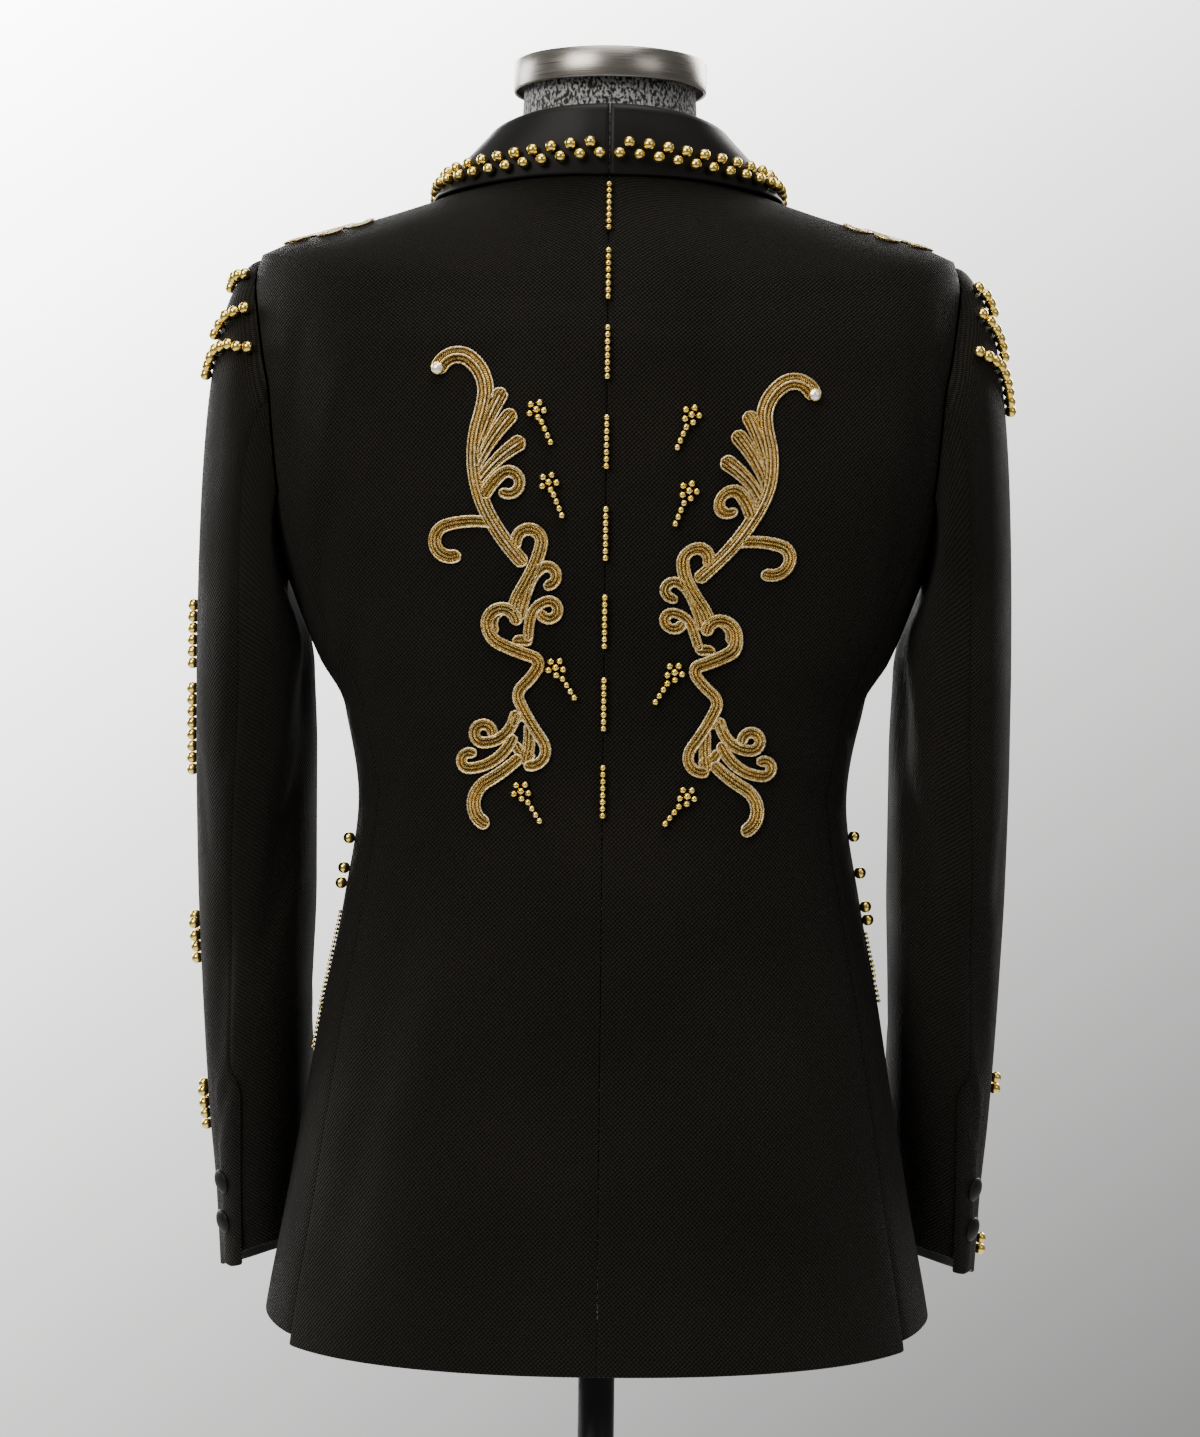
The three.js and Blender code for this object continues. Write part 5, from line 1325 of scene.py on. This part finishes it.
# Scrolls of metal thread: each stroke starts at a distance out and a height, heads in a direction
# (0 outwards, 90 up) and turns through an angle over each of its lengths; its two widths come last.
scrollStrokes = [
    # stem with the crook, then the fan of leaves and the curls beside it
    (45.5, 1191, 46, ((30, 12), (62, 49), (12, -9), (25, -60), (25, -125)), 7.5, 9),
    (75, 1250, 104, ((44, 15),), 4, 9), (75, 1243, 112, ((42, 21),), 4, 9),
    (74, 1236, 123, ((38, 27),), 4, 9), (70, 1229, 118, ((17, 20), (30, 270)), 7, 5),
    (61, 1214, 14, ((30, -30), (32, -200)), 5.5, 7),
    # second stem, with two curls towards the centre
    (51, 1200, 85, ((6, 20), (22, 175), (14, 15), (16, 5), (16, -32)), 6, 7.5),
    (48, 1160, 98, ((22, 14), (10, 30), (22, 235)), 5.5, 5.5),
    (43, 1148, 84, ((14, 22), (13, 60), (25, 285)), 5, 5.5),
    # loop that runs on as the thin wave between the two groups
    (50, 1157, 95, ((28, -190), (14, -60), (20, -8), (8, 103), (13, 18), (10, -73), (25, -12), (6, 30),
                    (18, 120)), 6.5, 5.5),
    (57, 1165, -10, ((17, -120),), 4, 6), (52, 1148, 176, ((11, 8),), 5, 6),
    # lower group: curls outwards, leaves inside the loop, and the tail
    (50, 1108, -85, ((10, 25), (19, 60), (27, 295)), 6, 5.5),
    (51, 1094, -70, ((16, 30), (18, 38), (18, 235)), 6, 5.5),
    (47, 1082, -45, ((24, 15), (20, -75), (12, -62)), 6, 7.5), (43, 1101, -100, ((24, 28),), 5, 7.5),
    (50, 1090, -95, ((15, -100),), 5, 6), (51, 1099, 80, ((14, 170),), 4, 5),
]
shoulderStrokes = [
    (150, 22, 8, ((44, -30),), 7, 6), (152, 22, 70, ((14, 60), (16, 190)), 6, 4),
    (168, 24, 60, ((12, 50), (14, 150)), 6, 4), (182, 18, 40, ((12, 50), (12, 140)), 6, 4),
]
rightScroll = {
    # how much further out and lower the right one sits, by height
    "at": [1030, 1110, 1135, 1160, 1190, 1215, 1250, 1310],
    "out": [14.5, 16, 14.5, 8, 6.5, 10, 18, 22],
    "drop": [3, 3, 4, 5, 8, 10, 9.5, 13],
}
scroll = {
    "step": 1.1, "across": 15, "lift": 0.25, "dome": 1.7, "rowHeight": 0.28, "rows": 3,
    "cordRadius": 0.62, "cordLift": 0.75, "layer": 0.12, "crystalRadius": 3.2, "veinFrom": 7.5,
    "layers": 5, "fullWidth": 8, "skin": 0.3, "veinLift": 0.35, "foot": 0.05, "footShare": 0.9,
    "crystalInset": 3, "crystalLift": 2.2, "domePower": 0.7, "veinAside": 0.05,
    "cordStep": 0.75, "twistPitch": 2.6, "twistDepth": 0.11,
}


def strokePath(stroke):
    out, up, heading, arcs, wide, thin = stroke
    heading = math.radians(heading)
    total, run = sum(length for length, _ in arcs), 0
    path = [(out, up, heading, wide)]
    for length, turn in arcs:
        steps = max(2, round(length / scroll["step"]))
        bend, step = math.radians(turn) / steps, length / steps
        for _ in range(steps):
            out += math.cos(heading + bend / 2) * step
            up += math.sin(heading + bend / 2) * step
            heading += bend
            run += step
            path.append((out, up, heading, wide + (thin - wide) * run / total))
    return np.array(path)


def roundedWidth(path):
    # the band's width, rounded off at both ends
    run = runAlong(path[:, :2])
    wide = path[:, 3]
    for near in (run, run[-1] - run):
        r = wide / 2
        inside = np.clip(near / r, 0, 1)
        wide = wide * np.sqrt(np.clip(1 - (1 - inside) ** 2, 0.02, 1))
    return wide, run


def placeFromAbove(x, behind):
    y = np.maximum(behind, 0.5)

    def inside(row):
        ring = ringAt(row)
        return (np.minimum(x / ring["half"], 3)) ** ring["round"] + (y / ring["back"]) ** ring["round"] < 1

    lowest = np.full(np.shape(x), jacket["seamTop"] + 60.0)
    row = bisect(lowest, np.full(np.shape(x), float(jacket["neckSeam"])), inside)
    ring = ringAt(row)
    return np.arcsin(np.minimum(x / ring["half"], 1) ** (ring["round"] / 2)), row


def scrollPlace(kind, side, out, up, lift):
    if kind == "back":
        aside = readTable(rightScroll, "out", up) if side < 0 else 0
        drop = readTable(rightScroll, "drop", up) if side < 0 else 0
        angle, row = placeOn("back", out + aside, up - drop)
    else:
        angle, row = placeFromAbove(out, up)
    return clothPoint(side, angle, row, lift)[0]


def hoopFaces(n, m, first=0):
    # the faces of n rings of m points, with each point's number and its neighbour's
    index = first + np.arange(n * m).reshape(n, m)
    beside = np.roll(index, -1, 1)
    return index, beside, np.stack([index[:-1], beside[:-1], beside[1:], index[1:]], -1).reshape(-1, 4)


def makeScroll(name, kind, side, strokes):
    points, faces, uvs, cordPoints, cordEdges = [], [], [], [], []
    total, cordTotal = 0, 0
    for number, stroke in enumerate(strokes):
        path = strokePath(stroke)
        wide, run = roundedWidth(path)
        out, up, heading = path[:, 0], path[:, 1], path[:, 2]
        acrossOut, acrossUp = -np.sin(heading), np.cos(heading)
        base = scroll["lift"] + scroll["layer"] * (number % scroll["layers"])

        def strip(share, lift):
            return scrollPlace(kind, side, out + share * wide / 2 * acrossOut,
                               up + share * wide / 2 * acrossUp, lift)

        shares = np.linspace(-1, 1, scroll["across"])
        full = np.minimum(wide / scroll["fullWidth"], 1)
        columns = []
        for share in shares:
            ridge = scroll["rowHeight"] * math.cos(math.pi * scroll["rows"] * share)
            dome = scroll["dome"] * (1 - share**2) ** scroll["domePower"]
            columns.append(strip(share, base + full * (dome + ridge + scroll["skin"])))
        under = [scroll["footShare"], 0, -scroll["footShare"]]
        for share in under:
            columns.append(strip(share, np.full(len(out), scroll["foot"])))
        ring = np.stack(columns, 1)
        n, m = ring.shape[:2]
        index, _, around = hoopFaces(n, m, total)
        faces.append(around)
        for end, flip in ((index[0], False), (index[-1], True)):
            cap = [[end[0], end[i], end[i + 1], end[i + 1]] for i in range(1, m - 1)]
            faces.append(np.array(cap)[:, ::-1] if flip else np.array(cap))
        points.append(ring.reshape(-1, 3))
        across = np.concatenate([shares, under])[None, :] * wide[:, None] / 2
        uvs.append(np.stack([run[:, None] + 0 * across, across], -1).reshape(-1, 2) * mm)
        total += n * m
        loopPoints = np.concatenate([strip(way, base + scroll["cordLift"])[::way] for way in (1, -1)])
        count = len(loopPoints)
        cordPoints.append(loopPoints)
        cordEdges += [(cordTotal + i, cordTotal + (i + 1) % count) for i in range(count)]
        cordTotal += count
        if max(stroke[4:]) > scroll["veinFrom"]:
            lift = base + full * (scroll["dome"] + scroll["veinLift"])
            vein = strip(scroll["veinAside"], lift)[4:-4]
            cordPoints.append(vein)
            cordEdges += [(cordTotal + i, cordTotal + i + 1) for i in range(len(vein) - 1)]
            cordTotal += len(vein)
    allPoints, allFaces = np.concatenate(points), np.concatenate(faces)
    if volumeOf(allPoints, allFaces) < 0:
        allFaces = allFaces[:, ::-1]
    cleaned = [list(dict.fromkeys(face)) for face in allFaces.tolist()]
    fill = newPiece(name + "_fill", allPoints, cleaned, [goldThread], None, np.concatenate(uvs))
    values = {"Cord Radius": scroll["cordRadius"] * mm, "Step": scroll["cordStep"] * mm, "Sides": 7,
              "Twist Pitch": scroll["twistPitch"] * mm, "Twist Depth": scroll["twistDepth"] * mm,
              "Material": paleCord}
    cord = throughTree(name + "_cord", np.concatenate(cordPoints), cordEdges, cordTree, values)
    return fill, cord


def makeCrystalPiece(name, point, normal):
    # a faceted stone in a metal cup, at the crook's end
    r = scroll["crystalRadius"]
    profile = [(0, 1.0), (0.5, 0.93), (0.95, 0.55), (1.0, 0.35), (1.12, 0.3), (1.2, 0.0), (0.6, -0.15)]
    points, faces = [], []
    right = unit(np.cross(normal, (0, 0, 1.0)))
    upwards = np.cross(right, normal)
    steps, stoneRings = 16, 3
    for radius, height in profile:
        for i in range(steps):
            a = math.tau * (i // 2 * 2 if radius < 1.1 else i) / steps
            offset = (right * math.cos(a) + upwards * math.sin(a)) * radius * r
            points.append(point + offset + normal * height * r)
    for ring in range(len(profile) - 1):
        for i in range(steps):
            a, b = ring * steps + i, ring * steps + (i + 1) % steps
            faces.append([a, b, b + steps, a + steps])
    metal = [0] * (stoneRings * steps) + [1] * (len(faces) - stoneRings * steps)
    return newPiece(name, points, faces, [crystal, beadGold], metal, smooth=False)


for name, side in sides:
    for key, label, kind, strokes in (("scroll", "scroll_", "back", scrollStrokes),
                                      ("shoulder", "shoulder_scroll_", "above", shoulderStrokes)):
        fill, cord = makeScroll(label + name, kind, side, strokes)
        pieces[f"{key}_fill_{name}"], pieces[f"{key}_cord_{name}"] = fill, cord
    out, up, heading, _ = strokePath(scrollStrokes[0])[-1]
    inset = scroll["crystalInset"]
    spot = out - inset * math.cos(heading), up - inset * math.sin(heading)
    around = scrollPlace("back", side, spot[0] + np.array([0, 3, 0]), spot[1] + np.array([0, 0, 3]),
                         scroll["crystalLift"])
    point, normal = around[0], unit(side * np.cross(around[2] - around[0], around[1] - around[0]))
    pieces["crystal_" + name] = makeCrystalPiece("crystal_" + name, point, normal)
print("scrolls made")


# Covered buttons: a domed cap with a folded rim on a short shank
button = {
    "cuff": 7.5, "front": 10, "line": 4.1, "heights": {"upper": 820.3, "lower": 794.4},
    "frontHeight": 1062, "segments": 40, "cuffLift": 0.6, "ventShare": 0.3, "frontLift": 0.5,
    "profile": [(0, 4.0), (0.35, 3.85), (0.62, 3.4), (0.82, 2.7), (0.94, 2.0), (1.0, 1.3), (0.985, 0.8),
                (0.93, 0.45), (0.84, 0.35), (0.8, 0.5), (0.3, 0.5), (0.28, 0.0), (0.0, 0.0)],
}


def latheAround(name, profile, point, normal, segments, materials, scale=1.0):
    right = unit(np.cross(normal, (0.02, 0.03, 1.0)))
    upwards = np.cross(normal, right)
    turn = np.arange(segments) * math.tau / segments
    circle = np.cos(turn)[:, None] * right + np.sin(turn)[:, None] * upwards
    points, faces, rings = [], [], []
    for radius, height in profile:
        if radius == 0:
            rings.append([len(points)] * segments)
            points.append(point + normal * height)
        else:
            rings.append(list(range(len(points), len(points) + segments)))
            points.extend(point + circle * radius * scale + normal * height)
    for a, b in zip(rings, rings[1:]):
        for i in range(segments):
            j = (i + 1) % segments
            face = list(dict.fromkeys([a[i], b[i], b[j], a[j]]))
            if len(face) > 2:
                faces.append(face)
    return newPiece(name, points, faces, materials)


for name, side in sides:
    for which, height in button["heights"].items():
        k, t = np.array(button["line"]), np.array(sleeveTurn(height))
        lift = sleeve["ventLift"] * button["ventShare"] + button["cuffLift"]
        point, normal = sleeveSurface(side, k, t, lift)
        made = latheAround(f"covered_button_{name}_{which}", button["profile"], point, normal,
                           button["segments"], [satinCloth], button["cuff"])
        pieces[f"cuff_button_{name}_{which}"] = made
angle, row = placeOn("front", np.array(0.0), np.array(float(button["frontHeight"])))
point, normal = clothPoint(1, angle, row, button["frontLift"])
pieces["front_button"] = latheAround("covered_button_front", button["profile"], point, normal,
                                     button["segments"], [satinCloth], button["front"])
print("buttons made")


# Dress form: knitted torso and neck, steel neck cap, pole and base

form = {
    "columns": 96, "neckTop": 1485, "neckY": -7, "bottom": 764, "capRadius": 58,
    "capLow": 1480, "capHigh": 1498.3, "poleRadius": 11, "baseRadius": 185, "baseHeight": 12,
    "gap": 0.3, "roundSegments": 128, "poleSegments": 48, "neckDepth": 0.92,
    "shoulderRow": 1370, "topRow": 1428, "bodyStep": 12, "shoulderStep": 4,
    "neckRows": [1431, 1434, 1437, 1440, 1445, 1450, 1456, 1462, 1470, 1478, 1485],
}
formNeck = {"at": [1430, 1434, 1440, 1448, 1460, 1485], "radius": [60.5, 57, 54, 53.2, 52.6, 51.5]}
formInset = {
    "at": [764, 900, 1055, 1185, 1262, 1337, 1368, 1378, 1408, 1418, 1427],
    "inset": [20, 15, 9, 16, 17, 11, 4.5, 3.4, 3.4, 4.1, 5.7],
}


def makeTorso():
    rows = np.concatenate([np.arange(form["bottom"], form["shoulderRow"], form["bodyStep"]),
                           np.arange(form["shoulderRow"], form["topRow"], form["shoulderStep"])])
    turn = np.arange(form["columns"]) * math.tau / form["columns"]
    left = turn <= math.pi
    angle = np.where(left, turn, math.tau - turn)
    rings = []
    for row in rows:
        flat = np.full(angle.shape, float(row))
        points, normals = [np.where(left[:, None], at(1, angle, flat), at(-1, angle, flat))
                           for at in (bodyPoint, bodyNormal)]
        ring = points - normals * float(readTable(formInset, "inset", row))
        if row == form["bottom"]:
            ring[:, 2] = row
        rings.append(ring)
    for z in form["neckRows"]:
        radius = float(readTable(formNeck, "radius", z))
        y = form["neckY"] + form["neckDepth"] * radius * np.cos(turn)
        rings.append(np.stack([radius * np.sin(turn), y, np.full(turn.shape, float(z))], -1))
    n, m = len(rings), form["columns"]
    points = np.concatenate([*rings, [[0, 0, form["bottom"]], [0, form["neckY"], form["neckTop"]]]])
    index, beside, faces = hoopFaces(n, m)
    faces = faces.tolist()
    faces += [[n * m, int(beside[0][i]), int(index[0][i])] for i in range(m)]
    faces += [[n * m + 1, int(index[-1][i]), int(beside[-1][i])] for i in range(m)]
    return newPiece("torso_knit", points, faces, [jersey])


def makeLathe(name, profile, centre, materials, segments):
    return latheAround(name, profile, np.array(centre, float), np.array((0, 0, 1.0)), segments, materials)


pieces["form_torso"] = makeTorso()
r, lowZ, highZ = form["capRadius"], form["capLow"] - 0.2, form["capHigh"]
capProfile = [(0, highZ - 1.2), (r * 0.3, highZ - 1.2), (r - 7, highZ - 1.4), (r - 4.5, highZ - 0.4),
              (r - 2.5, highZ), (r - 1, highZ - 0.4), (r, highZ - 1.6), (r, lowZ + 1.0),
              (r - 0.4, lowZ + 0.2), (r - 1.0, lowZ), (r - 1.6, lowZ + 0.4), (r - 1.7, lowZ + 1.5),
              (r - 1.7, highZ - 3.5), (r - 4, highZ - 4.2), (0, highZ - 4.2)]
pieces["form_neck_cap"] = makeLathe("neck_cap", capProfile, (0, form["neckY"], 0), [steel],
                                    form["roundSegments"])
foot, top = form["baseHeight"] + form["gap"], form["bottom"] - form["gap"]
p = form["poleRadius"]
poleProfile = [(0, top), (p - 1, top), (p, top - 1), (p, foot + 1), (p - 0.4, foot), (0, foot)]
pieces["form_pole"] = makeLathe("pole", poleProfile[::-1], (0, 0, 0), [blackMetal],
                                form["poleSegments"])
b, h = form["baseRadius"], form["baseHeight"]
baseProfile = [(0, h), (b * 0.2, h), (b * 0.9, h), (b - 4, h - 0.5), (b - 1.5, h - 1.8), (b, h - 4), (b, 2),
               (b - 0.6, 0.6), (b - 2, 0), (b * 0.5, 0), (0, 0)]
pieces["form_base"] = makeLathe("base", baseProfile[::-1], (0, 0, 0), [blackMetal],
                                form["roundSegments"])
print("form made")


# Floor, light and sky
floorSizes = {"radius": 2300, "height": -0.6, "steps": 96}
# The backdrop's light in stops: least, and more to one side and upwards within a window
backdrop = {"least": 0.95, "aside": 5.4, "up": 7.6, "window": (-0.19, 0.19, -0.24, 0.22), "elsewhere": 0.22}


def makeFloor():
    radius, height, steps = floorSizes["radius"], floorSizes["height"], floorSizes["steps"]
    points = [[0, 0, height]]
    for i in range(steps):
        a = math.tau * i / steps
        points.append([radius * math.cos(a), radius * math.sin(a), height])
    faces = [[0, i + 1, (i + 1) % steps + 1] for i in range(steps)]
    material, tree, shader = newMaterial("pale floor", (0.72, 0.72, 0.73), 0.7)
    tone = mottled(tree, objectVector(tree), 3.0)
    tree.links.new(colours(tree, tone, (0.7, 0.7, 0.71), (0.75, 0.75, 0.76)),
                   shader.inputs["Base Color"])
    return newPiece("floor", points, faces, [material])


makeFloor()

lights = [
    # place in metres, size, watts, warmth
    ((1.9, 2.6, 2.7), 1.6, 110, (1, 0.97, 0.92)),
    ((-2.3, 2.2, 2.3), 1.4, 13, (1, 0.98, 0.96)),
    ((0.0, 0.6, 3.4), 1.8, 55, (1, 1, 1)),
    ((2.6, -1.6, 2.0), 1.4, 60, (1, 1, 1)),
    ((-1.8, -2.6, 2.6), 1.6, 95, (1, 0.98, 0.95)),
]
for number, (at, size, watts, warmth) in enumerate(lights):
    data = bpy.data.lights.new(f"light_{number}", "AREA")
    data.size, data.energy, data.color = size, watts, warmth
    lamp = bpy.data.objects.new(f"light_{number}", data)
    bpy.context.scene.collection.objects.link(lamp)
    aim = np.array((0, 0, 1.15)) - np.array(at)
    quaternion = Vector(aim).to_track_quat("-Z", "Y")
    lamp.matrix_world = Matrix.Translation(at) @ quaternion.to_matrix().to_4x4()

world = bpy.data.worlds.new("studio")
bpy.context.scene.world = world
world.use_nodes = True
sky = world.node_tree
background = sky.nodes["Background"]
background.inputs["Color"].default_value = (1, 0.995, 0.985, 1)
toward = put(sky, "ShaderNodeSeparateXYZ", {0: put(sky, "ShaderNodeTexCoord").outputs["Generated"]})
left, right, low, high = backdrop["window"]
across = put(sky, "ShaderNodeClamp", {0: toward.outputs["X"], 1: left, 2: right}).outputs[0]
upward = put(sky, "ShaderNodeClamp", {0: toward.outputs["Z"], 1: low, 2: high}).outputs[0]
stops = maths(sky, "MULTIPLY_ADD", across, backdrop["aside"], backdrop["least"])
stops = maths(sky, "MULTIPLY_ADD", upward, backdrop["up"], stops)
wall = maths(sky, "POWER", 2.0, stops)
near = put(sky, "ShaderNodeMapRange", {"Value": toward.outputs["Y"], "From Min": -0.75,
                                       "From Max": -0.9}, interpolation_type="SMOOTHSTEP")
glow = put(sky, "ShaderNodeMix", {0: near.outputs[0], 2: backdrop["elsewhere"], 3: wall})
sky.links.new(glow.outputs[0], background.inputs["Strength"])
print("stage and lights made")


# Which solid each piece stands for, what carries it, and the cloth it was cut from

standsFor = {"scroll_fill": "scroll_back", "shoulder_fill": "scroll_shoulder"}

for key, piece in pieces.items():
    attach(piece, body)
    node = key
    for start, solid in standsFor.items():
        node = node.replace(start, solid)
    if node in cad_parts:
        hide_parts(node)

sheets = {
    # flat width and length of the cut, its area, and the pieces sewn on it
    "back": ((0.27, 0.70), 0.158, ["scroll_fill", "scroll_cord", "crystal", "beads_clusters",
                                   "shoulder_fill", "shoulder_cord"]),
    "side": ((0.15, 0.50), 0.058, ["beads_side", "beads_strings"]),
    "front": ((0.27, 0.70), 0.155, []),
    "top_sleeve": ((0.26, 0.66), 0.13, ["beads_sleeve"]),
    "under_sleeve": ((0.18, 0.56), 0.07, []),
    "shawl": ((0.12, 0.66), 0.047, ["beads_collar"]),
}
for key, (cut, area, sewn) in sheets.items():
    for name, side in sides:
        on = [pieces[f"{s}_{name}"] for s in sewn]
        if key == "back" and side > 0:
            on.append(pieces["beads_centre_back"])
        if key == "front" and side > 0:
            on.append(pieces["front_button"])
        if key == "top_sleeve":
            on += [pieces[f"cuff_button_{name}_{which}"] for which in button["heights"]]
